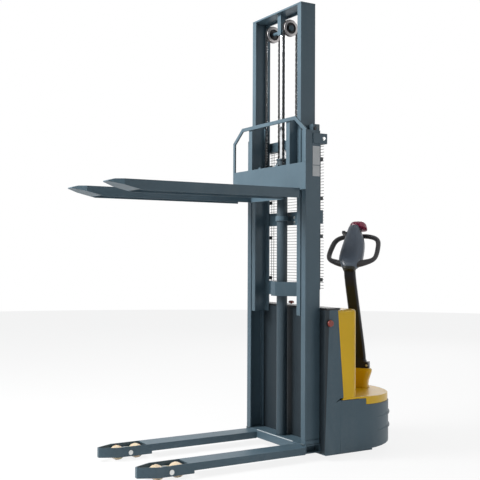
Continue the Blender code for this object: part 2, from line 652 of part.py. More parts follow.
def build_lift_gear():
    floor = BEAM_TOP + GAP
    profile = [(0.0, floor), (CYL_RADIUS, floor), (CYL_RADIUS, CYL_TOP - GLAND_HEIGHT),
               (GLAND_RADIUS, CYL_TOP - GLAND_HEIGHT), (GLAND_RADIUS, CYL_TOP),
               (ROD_RADIUS + RUN_FIT, CYL_TOP), (ROD_RADIUS + RUN_FIT, CYL_TOP - GLAND_DEPTH),
               (CYL_BORE, CYL_TOP - GLAND_DEPTH), (CYL_BORE, floor + CYL_FLOOR), (0.0, floor + CYL_FLOOR)]
    barrel = turned("lift_cylinder", profile, "z", (0.0, CYL_Y, 0.0), SLATE)
    piston = CYL_BORE - RUN_FIT
    piston_top = ROD_BOTTOM + PISTON_HEIGHT
    profile = [(0.0, ROD_BOTTOM), (piston, ROD_BOTTOM), (piston, piston_top), (ROD_RADIUS, piston_top),
               (ROD_RADIUS, HANGER_BOTTOM - GAP), (0.0, HANGER_BOTTOM - GAP)]
    turned("lift_rod", profile, "z", (0.0, CYL_Y, 0.0), CHROME)

    chain_r = SHEAVE_GROOVE + GAP + CHAIN_THICK / 2
    rear_y = SHEAVE_Y + chain_r
    reach = CHAIN_X + ANCHOR_END
    bar = box("chain_anchor_bar", -reach, reach, CYL_Y + GLAND_RADIUS - ANCHOR_LAP,
              REAR_OF_MAST + ANCHOR_PAST_MAST, ANCHOR_LOW, ANCHOR_LOW + ANCHOR_HEIGHT, STEEL)
    cut(bar, rod("anchor_bar_bore", CYL_BORE, "z", -CUT, ANCHOR_HEIGHT + CUT, (0.0, CYL_Y, ANCHOR_LOW)))
    join(barrel, bar)
    half = SHEAVE_WIDTH / 2
    inner_half = half - SHEAVE_FLANGE
    bore = SHEAVE_AXLE + RUN_FIT
    for side, sign in SIDES:
        x = sign * CHAIN_X
        rim, groove = SHEAVE_RADIUS, SHEAVE_GROOVE
        section = [(bore, -half), (rim, -half), (rim, -inner_half), (groove, -inner_half),
                   (groove, inner_half), (rim, inner_half), (rim, half), (bore, half)]
        turned("chain_sheave_" + side, section, "x", (x, SHEAVE_Y, SHEAVE_Z), STEEL, closed=True)
        front_y = SHEAVE_Y - chain_r
        box("chain_front_" + side, x - CHAIN_WIDTH / 2, x + CHAIN_WIDTH / 2, front_y - CHAIN_THICK / 2,
            front_y + CHAIN_THICK / 2, ANCHOR_BLOCK_TOP + GAP, SHEAVE_Z, CHAIN)
        box("chain_rear_" + side, x - CHAIN_WIDTH / 2, x + CHAIN_WIDTH / 2, rear_y - CHAIN_THICK / 2,
            rear_y + CHAIN_THICK / 2, ANCHOR_LOW + ANCHOR_HEIGHT + GAP, SHEAVE_Z, CHAIN)


# --- carriage and forks ----------------------------------------------------------------------
def build_carriage():
    front, rear = CARRIAGE_FRONT_Y, CARRIAGE_FRONT_Y + CARRIAGE_PLATE
    foot_half = LEG_X - LEG_WIDTH / 2 - FOOT_CLEAR
    foot = FORK_TOP - FORK_DEPTH
    outline = [(CARRIAGE_HALF, CARRIAGE_PLATE_LOW), (CARRIAGE_HALF, CARRIAGE_PLATE_TOP),
               (-CARRIAGE_HALF, CARRIAGE_PLATE_TOP), (-CARRIAGE_HALF, CARRIAGE_PLATE_LOW),
               (-foot_half, CARRIAGE_PLATE_LOW), (-foot_half, foot), (foot_half, foot),
               (foot_half, CARRIAGE_PLATE_LOW)]
    plate = prism("carriage_plate", outline, "y", front, rear)
    reach = SHEAVE_Y - SHEAVE_GROOVE
    blocks = []
    for side, sign in SIDES:
        x = sign * CHAIN_X
        blocks.append(box("chain_anchor_" + side, x - ANCHOR_BLOCK_HALF, x + ANCHOR_BLOCK_HALF,
                          rear - CARRIAGE_PLATE / 2, reach,
                          ANCHOR_BLOCK_TOP - ANCHOR_BLOCK_HEIGHT, ANCHOR_BLOCK_TOP))
    join(plate, *blocks)

    for side, sign in SIDES:
        edge = SIDE_HALF - SIDE_LIP
        y0, y1 = rear + GAP, SIDE_REAR_Y
        web = SIDE_HALF - SIDE_WEB
        plan = [(SIDE_HALF, y0), (SIDE_HALF, y1), (edge, y1), (edge, y1 - SIDE_WEB), (web, y1 - SIDE_WEB),
                (web, y0 + SIDE_WEB), (edge, y0 + SIDE_WEB), (edge, y0)]
        column = prism("carriage_side_" + side, mirrored(plan, sign), "z", SIDE_BOTTOM, BACKREST_TOP)
        roller_x = (INNER_EDGE + INNER_HALF - INNER_WEB) / 2
        reach = roller_x - SIDE_HALF
        for tag, z in (("low", CARRIAGE_ROLLER_LOW_Z), ("high", CARRIAGE_ROLLER_HIGH_Z)):
            inward, outward = reach + SIDE_WEB / 2, ROLLER_WIDTH / 4
            stub = rod(f"side_stub_{side}_{tag}", ROLLER_AXLE, "x", -inward if sign > 0 else -outward,
                       outward if sign > 0 else inward, (sign * roller_x, ROLLER_Y, z))
            join(column, stub)
            roller(f"carriage_roller_{side}_{tag}", "x", (sign * roller_x, ROLLER_Y, z), ROLLER_RADIUS,
                   ROLLER_WIDTH, ROLLER_AXLE)

    base = CARRIAGE_PLATE_TOP + GAP
    bar = BACKREST_BAR
    run = CARRIAGE_HALF - BACKREST_TOP_HALF
    rise = BACKREST_TOP - BACKREST_KNEE
    half_turn = math.atan2(run, rise) / 2
    knee = BACKREST_KNEE - bar * math.tan(half_turn)
    top_in = BACKREST_TOP_HALF - bar * math.tan(math.pi / 4 - half_turn)
    outline = [(CARRIAGE_HALF, base), (CARRIAGE_HALF, BACKREST_KNEE), (BACKREST_TOP_HALF, BACKREST_TOP),
               (-BACKREST_TOP_HALF, BACKREST_TOP), (-CARRIAGE_HALF, BACKREST_KNEE), (-CARRIAGE_HALF, base),
               (-CARRIAGE_HALF + bar, base), (-CARRIAGE_HALF + bar, knee), (-top_in, BACKREST_TOP - bar),
               (top_in, BACKREST_TOP - bar), (CARRIAGE_HALF - bar, knee), (CARRIAGE_HALF - bar, base)]
    prism("load_backrest", outline, "y", front, rear)


def build_fork(side, sign):
    """A formed fork: an inverted trough whose underside rises to a thin tip."""
    centre = sign * LEG_X
    heel = CARRIAGE_FRONT_Y - GAP
    tip = FORK_TIP_Y
    top, low = FORK_TOP, FORK_TOP - FORK_DEPTH
    half = FORK_WIDTH / 2
    thin = FORK_TIP_THICK
    profile = [(heel, top), (tip + 0.030, top), (tip, top - thin * 0.6), (tip, top - thin),
               (tip + FORK_TAPER, low), (heel, low)]
    fork = prism("fork_" + side, profile, "x", centre - half, centre + half)
    edge = centre + half
    inside = edge - FORK_CORNER
    plan = [(edge + CUT, heel + CUT), (edge + CUT, tip - CUT), (inside, tip - CUT), (inside, tip),
            (edge, tip + FORK_CORNER * 1.6), (edge, heel + CUT)]
    shave = prism("fork_corner_a_" + side, plan, "z", low - CUT, top + CUT)
    plan = [(2 * centre - a, b) for a, b in plan]
    shave_b = prism("fork_corner_b_" + side, plan, "z", low - CUT, top + CUT)
    under = top - FORK_PLATE
    start = tip + FORK_FRONT_SOLID
    profile = [(heel + CUT, under), (start, under), (start + FORK_HOLLOW_SLOPE, low - CUT),
               (heel + CUT, low - CUT)]
    room = half - FORK_PLATE
    hollow = prism("fork_hollow_" + side, profile, "x", centre - room, centre + room)
    cut(fork, shave, shave_b, hollow)


# --- guard -----------------------------------------------------------------------------------
def build_guard():
    """Welded mesh as one flat lattice of bars, with tabs that reach forward to the mast."""
    y0 = REAR_OF_MAST + TOP_TIE_DEPTH + GAP
    y1 = y0 + GUARD_THICK

    def stations(low, high, count):
        pitch = (high - low - GUARD_WIRE) / (count - 1)
        values = []
        for k in range(count):
            values += [low + k * pitch, low + k * pitch + GUARD_WIRE]
        return values

    xs = stations(-GUARD_HALF, GUARD_HALF, GUARD_COLUMNS)
    zs = stations(GUARD_BOTTOM, GUARD_TOP, GUARD_ROWS)
    bm = bmesh.new()
    grid = [[bm.verts.new((x, y0, z)) for z in zs] for x in xs]
    faces = []
    for i in range(len(xs) - 1):
        for j in range(len(zs) - 1):
            if i % 2 == 0 or j % 2 == 0:
                faces.append(bm.faces.new((grid[i][j], grid[i + 1][j], grid[i + 1][j + 1], grid[i][j + 1])))
    extruded = bmesh.ops.extrude_face_region(bm, geom=faces, use_keep_orig=True)
    moved = [item for item in extruded["geom"] if isinstance(item, bmesh.types.BMVert)]
    bmesh.ops.translate(bm, verts=moved, vec=(0.0, y1 - y0, 0.0))
    guard = make_object("mesh_guard", bm, STEEL)
    spread = GUARD_TOP - GUARD_BOTTOM
    for side, sign in SIDES:
        outer = sign * (GUARD_HALF + GUARD_TAB_PAST)
        inner = outer - sign * GUARD_TAB
        for level in (0.05, 0.35, 0.65):
            z = GUARD_BOTTOM + spread * level
            tab = box(f"guard_tab_{side}_{int(level * 100)}", min(outer, inner), max(outer, inner),
                      REAR_OF_MAST, y1 - GUARD_THICK / 3, z, z + GUARD_TAB_HEIGHT)
            join(guard, tab)


# --- body ------------------------------------------------------------------------------------
def tail_outline(inset, front_y):
    """Plan of the rounded tail from the left front, round the rear, to the right front."""
    half = BODY_HALF - inset
    depth = SKIRT_REAR_Y - SKIRT_CURVE_Y - inset
    points = [(half, front_y)]
    for k in range(SKIRT_STEPS + 1):
        angle = math.pi * k / SKIRT_STEPS
        points.append((half * math.cos(angle), SKIRT_CURVE_Y + depth * math.sin(angle)))
    points.append((-half, front_y))
    return points


def build_body():
    half = BODY_HALF
    inner = half - BODY_SHEET
    wall = BODY_WALL_Y
    floor = FLOOR_TOP + GAP
    split = BODY_SPLIT_Y
    plan = [(half, BODY_FRONT_Y), (half, split), (inner, split), (inner, wall + BODY_SHEET),
            (-inner, wall + BODY_SHEET), (-inner, split), (-half, split), (-half, BODY_FRONT_Y),
            (-inner, BODY_FRONT_Y), (-inner, wall), (inner, wall), (inner, BODY_FRONT_Y)]
    housing = prism("body_housing", plan, "z", floor, BODY_TOP)
    hole = rod("knob_hole", KNOB_STEM + RUN_FIT, "x", inner - CUT, half + CUT, (0.0, KNOB_Y, KNOB_Z))
    cut(housing, hole)

    def cover_plan(inset):
        a, r = half - inset, COVER_CORNER - inset
        rear = COVER_REAR_Y - inset
        front = split + GAP if inset == 0.0 else split - CUT
        points = [(a, front)] + arc((a - r, rear - r), r, 0, 90, 6) + arc((-a + r, rear - r), r, 90, 180, 6)
        return points + [(-a, front)]
    cover = prism("rear_cover", cover_plan(0.0), "z", COVER_BOTTOM, BODY_TOP, YELLOW, smooth=True)
    top_edges(cover, BODY_TOP, COVER_TOP_ROUND, split + GAP)
    hollow = prism("cover_hollow", cover_plan(BODY_SHEET), "z", COVER_BOTTOM - CUT, BODY_TOP - BODY_SHEET)
    top_edges(hollow, BODY_TOP - BODY_SHEET, COVER_TOP_ROUND - BODY_SHEET, split - CUT)
    stop_bore = rod("stop_bore", STOP_STEM + RUN_FIT, "z", -0.02, 0.02, (STOP_X, STOP_Y, BODY_TOP))
    key_bore = rod("key_bore", KEY_SHAFT + RUN_FIT, "z", -0.02, 0.02, (KEY_X, KEY_Y, BODY_TOP))
    cut(cover, hollow, stop_bore, key_bore)

    lid = box("battery_lid", -half, half, wall, split - GAP, BODY_TOP + GAP, BODY_TOP + LID_THICK, BLACK)
    set_origin(lid, (0.0, split - GAP, BODY_TOP + LID_THICK))

    outer = tail_outline(0.0, split + GAP)
    inner_pts = tail_outline(SKIRT_SHEET, split + GAP)
    skirt = prism("drive_skirt", outer + inner_pts[::-1], "z", floor, SKIRT_TOP_SIDE, SLATE, smooth=True)
    step = box("skirt_step", -half - CUT, half + CUT, SKIRT_STEP_Y, SKIRT_REAR_Y + CUT, SKIRT_TOP_REAR,
               SKIRT_TOP_SIDE + CUT)
    cut(skirt, step)

    outline = tail_outline(0.0, DECK_FRONT_Y)
    deck = prism("drive_deck", outline, "z", SKIRT_TOP_REAR + GAP, DECK_TOP, YELLOW, smooth=True)
    under = prism("deck_hollow", tail_outline(DECK_SHEET, DECK_FRONT_Y - CUT), "z",
                  SKIRT_TOP_REAR - CUT, DECK_TOP - DECK_SHEET)
    notch = box("deck_notch", -half - CUT, half + CUT, DECK_FRONT_Y - CUT, SKIRT_STEP_Y + GAP,
                SKIRT_TOP_REAR - CUT, SKIRT_TOP_SIDE + GAP)
    hole = rod("deck_bore", DECK_HOLE, "z", -0.02, 0.02, (0.0, STEER_Y, DECK_TOP))
    cut(deck, under, notch, hole)

    floor_half = half - FLOOR_INSET
    frame = box("chassis_frame", -floor_half, floor_half, BEAM_DEPTH + GAP, FLOOR_REAR_Y,
                FLOOR_TOP - FLOOR_THICK, FLOOR_TOP)
    post_rear = FLOOR_REAR_Y - POST_INSET
    post = box("chassis_post", -CARRIER_HALF, CARRIER_HALF, post_rear - POST_THICK, post_rear,
               FLOOR_TOP - FLOOR_THICK / 2, CARRIER_BOTTOM + CARRIER_THICK / 2)
    carrier = box("chassis_carrier", -CARRIER_HALF, CARRIER_HALF, post_rear - POST_THICK - POST_INSET,
                  STEER_Y + CARRIER_REAR, CARRIER_BOTTOM, CARRIER_BOTTOM + CARRIER_THICK)
    join(frame, post, carrier)
    bore = rod("carrier_bore", KINGPIN_RADIUS + RUN_FIT, "z", -0.02, 0.03, (0.0, STEER_Y, CARRIER_BOTTOM),
               sides=BORE_SIDES)
    cut(frame, bore)


def top_edges(obj, height, radius, front_y):
    """Round the top edges of a cover, except the one that meets its neighbour."""
    bm = bmesh.new()
    bm.from_mesh(obj.data)
    edges = [e for e in bm.edges if all(abs(v.co.z - height) < 1e-6 for v in e.verts)
             and not all(abs(v.co.y - front_y) < 1e-6 for v in e.verts)]
    bmesh.ops.bevel(bm, geom=edges, offset=radius, segments=3, profile=0.5, affect="EDGES")
    bm.to_mesh(obj.data)
    bm.free()
    obj.data.shade_smooth()
    obj.data.set_sharp_from_angle(angle=math.radians(35.0))


def build_power_parts():
    base = FLOOR_TOP + GAP
    y0, y1 = BAY_FRONT_Y, BAY_REAR_Y
    top = base + BATTERY_HEIGHT
    battery = box("battery_pack", -BAY_HALF, BATTERY_END_X, y0, y1, base, top, BLACK)
    middle = (BATTERY_END_X - BAY_HALF) / 2
    groove = box("battery_groove", middle - BATTERY_GROOVE / 2, middle + BATTERY_GROOVE / 2,
                 y0 - CUT, y1 + CUT, top - BATTERY_GROOVE_DEPTH, top + CUT)
    cut(battery, groove)
    tank = box("hydraulic_power_unit", TANK_START_X, BAY_HALF, y0, y1, base, base + TANK_HEIGHT, STEEL)
    motor = rod("pump_motor", PUMP_RADIUS, "z", -0.002, PUMP_HEIGHT,
                ((TANK_START_X + BAY_HALF) / 2, (y0 + y1) / 2, base + TANK_HEIGHT))
    join(tank, motor)


def build_body_controls():
    low, rim = STOP_RISE, STOP_RADIUS
    high = low + STOP_HEIGHT
    profile = [(0.0, -STOP_STEM_DEPTH), (STOP_STEM, -STOP_STEM_DEPTH), (STOP_STEM, low), (rim, low),
               (rim, low + STOP_HEIGHT * 0.6), (rim * 0.7, low + STOP_HEIGHT * 0.92), (0.0, high)]
    turned("emergency_stop", profile, "z", (STOP_X, STOP_Y, BODY_TOP), RED)

    low = KEY_RISE
    profile = [(0.0, -KEY_SHAFT_DEPTH), (KEY_SHAFT, -KEY_SHAFT_DEPTH), (KEY_SHAFT, GAP), (KEY_RADIUS, GAP),
               (KEY_RADIUS, low), (0.0, low)]
    key = turned("key_switch", profile, "z", (KEY_X, KEY_Y, BODY_TOP), STEEL)
    blade = box("key_bow", -KEY_BOW_HALF, KEY_BOW_HALF, -KEY_BOW_THICK / 2, KEY_BOW_THICK / 2,
                low - 0.001, low + KEY_BOW_HEIGHT, STEEL)
    blade.location = key.location
    join(key, blade)

    out, rim = KNOB_RISE, KNOB_RADIUS
    face = out + KNOB_LENGTH
    profile = [(0.0, -KNOB_STEM_DEPTH), (KNOB_STEM, -KNOB_STEM_DEPTH), (KNOB_STEM, out), (rim * 0.85, out),
               (rim, out + 0.004), (rim * 0.92, face - KNOB_LENGTH * 0.2), (rim * 0.7, face), (0.0, face)]
    turned("battery_disconnect_knob", profile, "x", (BODY_HALF, KNOB_Y, KNOB_Z), RED)


# --- steered parts: u across, v to the rear, about the steering axis -------------------------
def build_drive_unit():
    yoke_in = DRIVE_WIDTH / 2 + YOKE_FIT
    yoke_out = yoke_in + YOKE_PLATE
    bearing = CARRIER_BOTTOM - GAP
    top = DECK_TOP + KINGPIN_RISE
    profile = [(0.0, TURNTABLE_BOTTOM), (TURNTABLE_RADIUS, TURNTABLE_BOTTOM), (TURNTABLE_RADIUS, bearing),
               (KINGPIN_RADIUS, bearing), (KINGPIN_RADIUS, top), (0.0, top)]
    head = turned("steering_head", profile, "z", (0.0, 0.0, 0.0), STEEL)
    plates = []
    for side, sign in SIDES:
        x0, x1 = sorted((sign * yoke_in, sign * yoke_out))
        plates.append(box("yoke_plate_" + side, x0, x1, -YOKE_HALF, YOKE_HALF, YOKE_BOTTOM,
                          TURNTABLE_BOTTOM + 0.004))
    axle = rod("drive_axle", DRIVE_AXLE, "x", -yoke_out + 0.001, yoke_out - 0.001, (0.0, 0.0, DRIVE_RADIUS))
    join(head, *plates, axle)
    bore = DRIVE_AXLE + RUN_FIT
    half = DRIVE_WIDTH / 2
    tread, rim, hub = DRIVE_RADIUS, DRIVE_RADIUS * 0.6, DRIVE_RADIUS * 0.55
    section = [(bore, -half * 0.8), (hub, -half * 0.8), (rim, -half), (tread - 0.004, -half),
               (tread, -half + 0.006), (tread, half - 0.006), (tread - 0.004, half), (rim, half),
               (hub, half * 0.8), (bore, half * 0.8)]
    wheel = turned("drive_wheel", section, "x", (0.0, 0.0, DRIVE_RADIUS), RUBBER, sides=32, closed=True)
    start = yoke_out + GAP
    end = start + MOTOR_LENGTH
    profile = [(0.0, start), (MOTOR_RADIUS, start), (MOTOR_RADIUS, end - MOTOR_EDGE),
               (MOTOR_RADIUS - MOTOR_EDGE, end), (0.0, end)]
    motor = turned("drive_motor", profile, "x", (0.0, 0.0, DRIVE_RADIUS), BLACK)
    return [head, *plates, axle, wheel, motor]


def build_tiller_base():
    foot = DECK_TOP + KINGPIN_RISE + GAP
    waist = HINGE_Z - LOBE_RADIUS
    lobe = arc((0.0, HINGE_Z), LOBE_RADIUS, -20, 200, 12)
    outline = [(-BASE_FOOT, foot), (BASE_FOOT, foot), (BASE_FOOT, waist)] + lobe + [(-BASE_FOOT, waist)]
    base = prism("tiller_base", outline, "x", -BASE_HALF, BASE_HALF, YELLOW, smooth=True)
    slot_half = TONGUE_HALF + 0.001
    slot = box("base_slot", -slot_half, slot_half, -BASE_FOOT - CUT, BASE_FOOT + CUT,
               HINGE_Z - TONGUE_RADIUS - 0.002, HINGE_Z + LOBE_RADIUS + CUT)
    pin = rod("hinge_pin", HINGE_PIN, "x", -BASE_HALF + 0.002, BASE_HALF - 0.002, (0.0, 0.0, HINGE_Z))
    cut(base, slot)
    join(base, pin)
    return [base, slot, pin]


def build_tiller_arm():
    """A flat arm in a gentle S, on a hinge block whose tongue sits between the base's lobes."""
    clear = HINGE_Z + LOBE_RADIUS + ROOT_CLEAR
    root = box("tiller_arm", -ROOT_HALF, ROOT_HALF, -ROOT_DEPTH, ROOT_DEPTH, clear, ROOT_TOP, BLACK)
    outline = [(-TONGUE_RADIUS, clear + 0.004)] + arc((0.0, HINGE_Z), TONGUE_RADIUS, 180, 360, 12)
    outline += [(TONGUE_RADIUS, clear + 0.004)]
    tongue = prism("arm_tongue", outline, "x", -TONGUE_HALF, TONGUE_HALF)
    foot = Vector((0.0, ROOT_TOP - 0.006))
    head = Vector((HEAD_BACK, HEAD_Z - ARM_NECK))
    reach = head.y - foot.y
    stations = ARM_STATIONS
    centres = []
    for k in range(stations + 1):
        t = k / stations
        start = foot + Vector((0.0, reach * 0.45 * t))
        end = head - Vector((0.0, reach * 0.38 * (1.0 - t)))
        blend = t * t * (3.0 - 2.0 * t)
        centres.append(start * (1.0 - blend) + end * blend)
    centres.append(Vector((HEAD_BACK, HEAD_Z + ARM_SOCKET)))
    w, d, c = ARM_WIDTH / 2, ARM_THICK / 2, ARM_CHAMFER
    section = [(w, d - c), (w - c, d), (-w + c, d), (-w, d - c), (-w, -d + c), (-w + c, -d), (w - c, -d),
               (w, -d + c)]
    bm = bmesh.new()
    rings = []
    for k, centre in enumerate(centres):
        along = Vector((0.0, 1.0))
        if 0 < k < stations:                    # both ends stand square
            along = (centres[k + 1] - centres[k - 1]).normalized()
        across = Vector((along.y, -along.x))
        points = [(u, centre.x + across.x * v, centre.y + across.y * v) for u, v in section]
        rings.append([bm.verts.new(point) for point in points])
    for a, b in zip(rings, rings[1:]):
        for k in range(8):
            n = (k + 1) % 8
            bm.faces.new((a[k], a[n], b[n], b[k]))
    bm.faces.new(rings[0])
    bm.faces.new(rings[-1])
    bar = make_object("arm_bar", bm, BLACK, smooth=True)
    bore = rod("arm_bore", HINGE_PIN + RUN_FIT, "x", -TONGUE_HALF - CUT, TONGUE_HALF + CUT,
               (0.0, 0.0, HINGE_Z))
    join(root, tongue, bar)
    cut(root, bore)
    socket = box("arm_socket", -w - GAP, w + GAP, HEAD_BACK - d - GAP, HEAD_BACK + d + GAP,
                 HEAD_Z - ARM_NECK, HEAD_Z + ARM_SOCKET + GAP)
    return [root, tongue, bar, bore, socket]


def head_frame(steer):
    """Empty at the head's foot: X across, Y out of its rear face, Z along the head."""
    frame = bpy.data.objects.new("head_frame", None)
    bpy.context.collection.objects.link(frame)
    frame.parent = steer
    frame.location = (0.0, HEAD_BACK, HEAD_Z)
    frame.rotation_euler = (-HEAD_TILT, 0.0, 0.0)
    return frame


def build_tiller_head():
    thick = HEAD_THICK / 2
    foot = ARM_WIDTH / 2 + HEAD_FOOT_WALL
    top = HEAD_LENGTH
    stations = [(-0.006, foot, 0.85), (0.020, foot + 0.010, 0.95), (0.080, HEAD_HALF, 1.0),
                (top - 0.092, HEAD_HALF - 0.004, 1.0), (top - 0.047, HEAD_TOP_HALF + 0.005, 0.95),
                (top - 0.012, HEAD_TOP_HALF, 0.85), (top, HEAD_TOP_HALF - 0.007, 0.70)]
    bm = bmesh.new()
    rings = []
    for w, half, share in stations:
        d, c = thick * share, 0.35 * thick * share
        section = [(half, -d + c), (half, d - c), (half - c, d), (-half + c, d), (-half, d - c),
                   (-half, -d + c), (-half + c, -d), (half - c, -d)]
        rings.append([bm.verts.new((u, v, w)) for u, v in section])
    for a, b in zip(rings, rings[1:]):
        for k in range(8):
            n = (k + 1) % 8
            bm.faces.new((a[k], a[n], b[n], b[k]))
    bm.faces.new(rings[0])
    bm.faces.new(rings[-1])
    head = make_object("tiller_head", bm, BLACK, smooth=True)

    side_x, bar = LOOP_HALF, LOOP_BAR
    root = HEAD_HALF / 2
    outer = [(root, top - 0.044), (side_x - 0.043, top - 0.056), (side_x - 0.010, top - 0.077),
             (side_x, top - 0.102), (side_x, 0.115), (side_x - 0.012, 0.085), (side_x - 0.058, 0.052),
             (root, 0.030)]
    grip = side_x - bar
    hole = [(HEAD_HALF + 0.004, top - 0.077), (side_x - 0.050, top - 0.084), (grip - 0.006, top - 0.096),
            (grip, top - 0.110), (grip, 0.122), (grip - 0.010, 0.104), (side_x - 0.068, 0.084),
            (HEAD_HALF + 0.006, 0.078)]
    helpers = []
    for side, sign in SIDES:
        loop = prism("grip_loop_" + side, mirrored(outer, sign), "y", -LOOP_THICK / 2, LOOP_THICK / 2)
        gap = prism("grip_gap_" + side, mirrored(hole, sign), "y", -thick - CUT, thick + CUT)
        helpers += [loop, gap]
    join(head, helpers[0], helpers[2])
    cut(head, helpers[1], helpers[3])
    stem_bore = rod("belly_bore", BELLY_STEM + RUN_FIT, "z", top - BELLY_BORE_DEPTH, top + CUT,
                    (0.0, 0.0, 0.0))
    wing_bore = rod("wing_bore", WING_SHAFT + RUN_FIT, "x", -0.07, 0.07, (0.0, 0.0, WING_W))
    cut(head, stem_bore, wing_bore, bpy.data.objects["arm_socket"])

    base = HEAD_LENGTH + BELLY_RISE
    half, depth = BELLY_HALF, thick * 0.75
    bm = bmesh.new()
    add_box(bm, -half, half, -depth, depth, base, base + BELLY_HEIGHT)
    top = [e for e in bm.edges if all(v.co.z > base + BELLY_HEIGHT / 2 for v in e.verts)]
    upright = [e for e in bm.edges if abs(e.verts[0].co.z - e.verts[1].co.z) > BELLY_HEIGHT / 2]
    bmesh.ops.bevel(bm, geom=top + upright, offset=BELLY_ROUND, segments=2, profile=0.5, affect="EDGES")
    belly = make_object("belly_button", bm, CRIMSON, smooth=True)
    stem = rod("belly_stem", BELLY_STEM, "z", HEAD_LENGTH + BELLY_RISE - BELLY_BORE_DEPTH, base + 0.004,
               (0.0, 0.0, 0.0))
    join(belly, stem)

    wing_out = WING_IN + WING_WIDTH
    reach = wing_out - 0.002
    wings = rod("throttle_wings", WING_SHAFT, "x", -reach, reach, (0.0, 0.0, WING_W), BLACK)
    paddle = [(-0.009, -0.009), (WING_REACH, -0.006), (WING_REACH, 0.005), (-0.009, 0.009)]
    paddles = []
    for side, sign in SIDES:
        a, b = sorted((sign * WING_IN, sign * wing_out))
        piece = prism("wing_" + side, paddle, "x", a, b, BLACK)
        piece.location = (0.0, 0.0, WING_W)
        paddles.append(piece)
    join(wings, *paddles)

    seat = thick + GAP
    reach, rise = ROCKER_REACH, ROCKER_HEIGHT
    slope = reach * math.tan(ROCKER_SLOPE)
    side = slope + rise * 0.6
    profile = [(0.0, 0.0), (slope, reach), (side, reach), (rise, 0.0), (side, -reach), (slope, -reach)]
    rocker = prism("lift_rocker", profile, "x", -ROCKER_HALF, ROCKER_HALF, BLACK)
    rocker.location = (0.0, seat, ROCKER_W)
    return [head, *helpers, stem_bore, wing_bore, belly, stem, wings, *paddles, rocker]


# --- assembly --------------------------------------------------------------------------------
def main():
    for obj in list(bpy.data.objects):
        bpy.data.objects.remove(obj, do_unlink=True)

    truck = bpy.data.objects.new("truck", None)
    steer = bpy.data.objects.new("steer_axis", None)
    for empty in (truck, steer):
        bpy.context.collection.objects.link(empty)
    steer.parent = truck
    steer.location = (0.0, STEER_Y, 0.0)
    steer.rotation_euler = (0.0, 0.0, STEER_TURNED)

    build_base()
    for side, sign in SIDES:
        build_leg(side, sign)
        build_bogie(side, sign)
        build_fork(side, sign)
    build_outer_mast()
    build_inner_mast()
    build_lift_gear()
    build_carriage()
    build_guard()
    build_body()
    build_power_parts()
    build_body_controls()
    for obj in build_drive_unit() + build_tiller_base() + build_tiller_arm():
        obj.parent = steer
    frame = head_frame(steer)
    for obj in build_tiller_head():
        obj.parent = frame
    for obj in bpy.data.objects:
        if obj.parent is None and obj is not truck:
            obj.parent = truck
    truck.location = (0.0, TRUCK_Y, 0.0)


main()
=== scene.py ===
# %% [markdown]
# # A walkie stacker, surface by surface
# The frame below is the machine's bare solids: columns, forks, legs, body and tiller. This
# lesson gives each of them the finish of the real thing, and adds the pieces too fine for
# the solids: chain links, guard wires, weld beads, bolts and the moulded tiller head.

# %% Load the frame
import json
import math

import bmesh
import bpy
from mathutils import Matrix, Vector


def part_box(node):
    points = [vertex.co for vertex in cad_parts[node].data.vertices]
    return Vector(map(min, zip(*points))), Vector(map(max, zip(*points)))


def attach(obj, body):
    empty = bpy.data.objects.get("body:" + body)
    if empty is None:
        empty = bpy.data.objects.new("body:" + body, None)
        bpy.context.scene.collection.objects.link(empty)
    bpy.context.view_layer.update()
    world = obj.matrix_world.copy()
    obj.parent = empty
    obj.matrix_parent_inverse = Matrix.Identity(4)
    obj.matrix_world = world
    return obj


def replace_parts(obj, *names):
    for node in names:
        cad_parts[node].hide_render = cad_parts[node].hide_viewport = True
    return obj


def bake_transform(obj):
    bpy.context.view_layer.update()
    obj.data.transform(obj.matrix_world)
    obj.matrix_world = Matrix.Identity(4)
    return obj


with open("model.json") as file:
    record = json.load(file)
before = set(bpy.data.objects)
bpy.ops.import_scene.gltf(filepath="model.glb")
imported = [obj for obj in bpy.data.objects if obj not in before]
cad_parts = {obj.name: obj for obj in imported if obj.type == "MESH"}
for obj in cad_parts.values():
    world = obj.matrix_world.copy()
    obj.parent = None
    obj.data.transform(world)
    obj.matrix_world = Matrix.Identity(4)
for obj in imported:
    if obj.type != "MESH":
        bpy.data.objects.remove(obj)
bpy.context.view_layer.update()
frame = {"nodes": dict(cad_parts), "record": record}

# %% [markdown]
# ## Where the camera and the lights stand
# The machine is seen from its left and a little from the front, from chest height, through a
# long lens. A big soft lamp near the camera's left lights the mast's front faces, and a
# weaker one fills the side. Two lamps of different strength keep the edges readable.

# %% Camera, lamps and floor
scene = bpy.context.scene
scene.view_settings.view_transform = "Standard"
SENSOR = 36.0
IMAGE_SIDE = 480
FOCAL_IN_IMAGE = 856.3
EYE = Vector((4.365, -2.655, 1.173))
TURN, RISE, ROLL = math.radians(59.04), math.radians(1.14), math.radians(0.26)

lens = bpy.data.cameras.new("eye")
lens.sensor_width = SENSOR
lens.lens = FOCAL_IN_IMAGE / IMAGE_SIDE * SENSOR
camera = bpy.data.objects.new("eye", lens)
scene.collection.objects.link(camera)
camera.matrix_world = (Matrix.Translation(EYE) @ Matrix.Rotation(TURN, 4, "Z")
                       @ Matrix.Rotation(math.pi / 2 + RISE, 4, "X") @ Matrix.Rotation(ROLL, 4, "Z"))
scene.camera = camera


def soft_lamp(name, place, target, size, power):
    light = bpy.data.lights.new(name, "AREA")
    light.shape = "DISK"
    light.size = size
    light.energy = power
    lamp = bpy.data.objects.new(name, light)
    lamp.location = place
    lamp.rotation_euler = (Vector(target) - Vector(place)).to_track_quat("-Z", "Y").to_euler()
    scene.collection.objects.link(lamp)
    return lamp


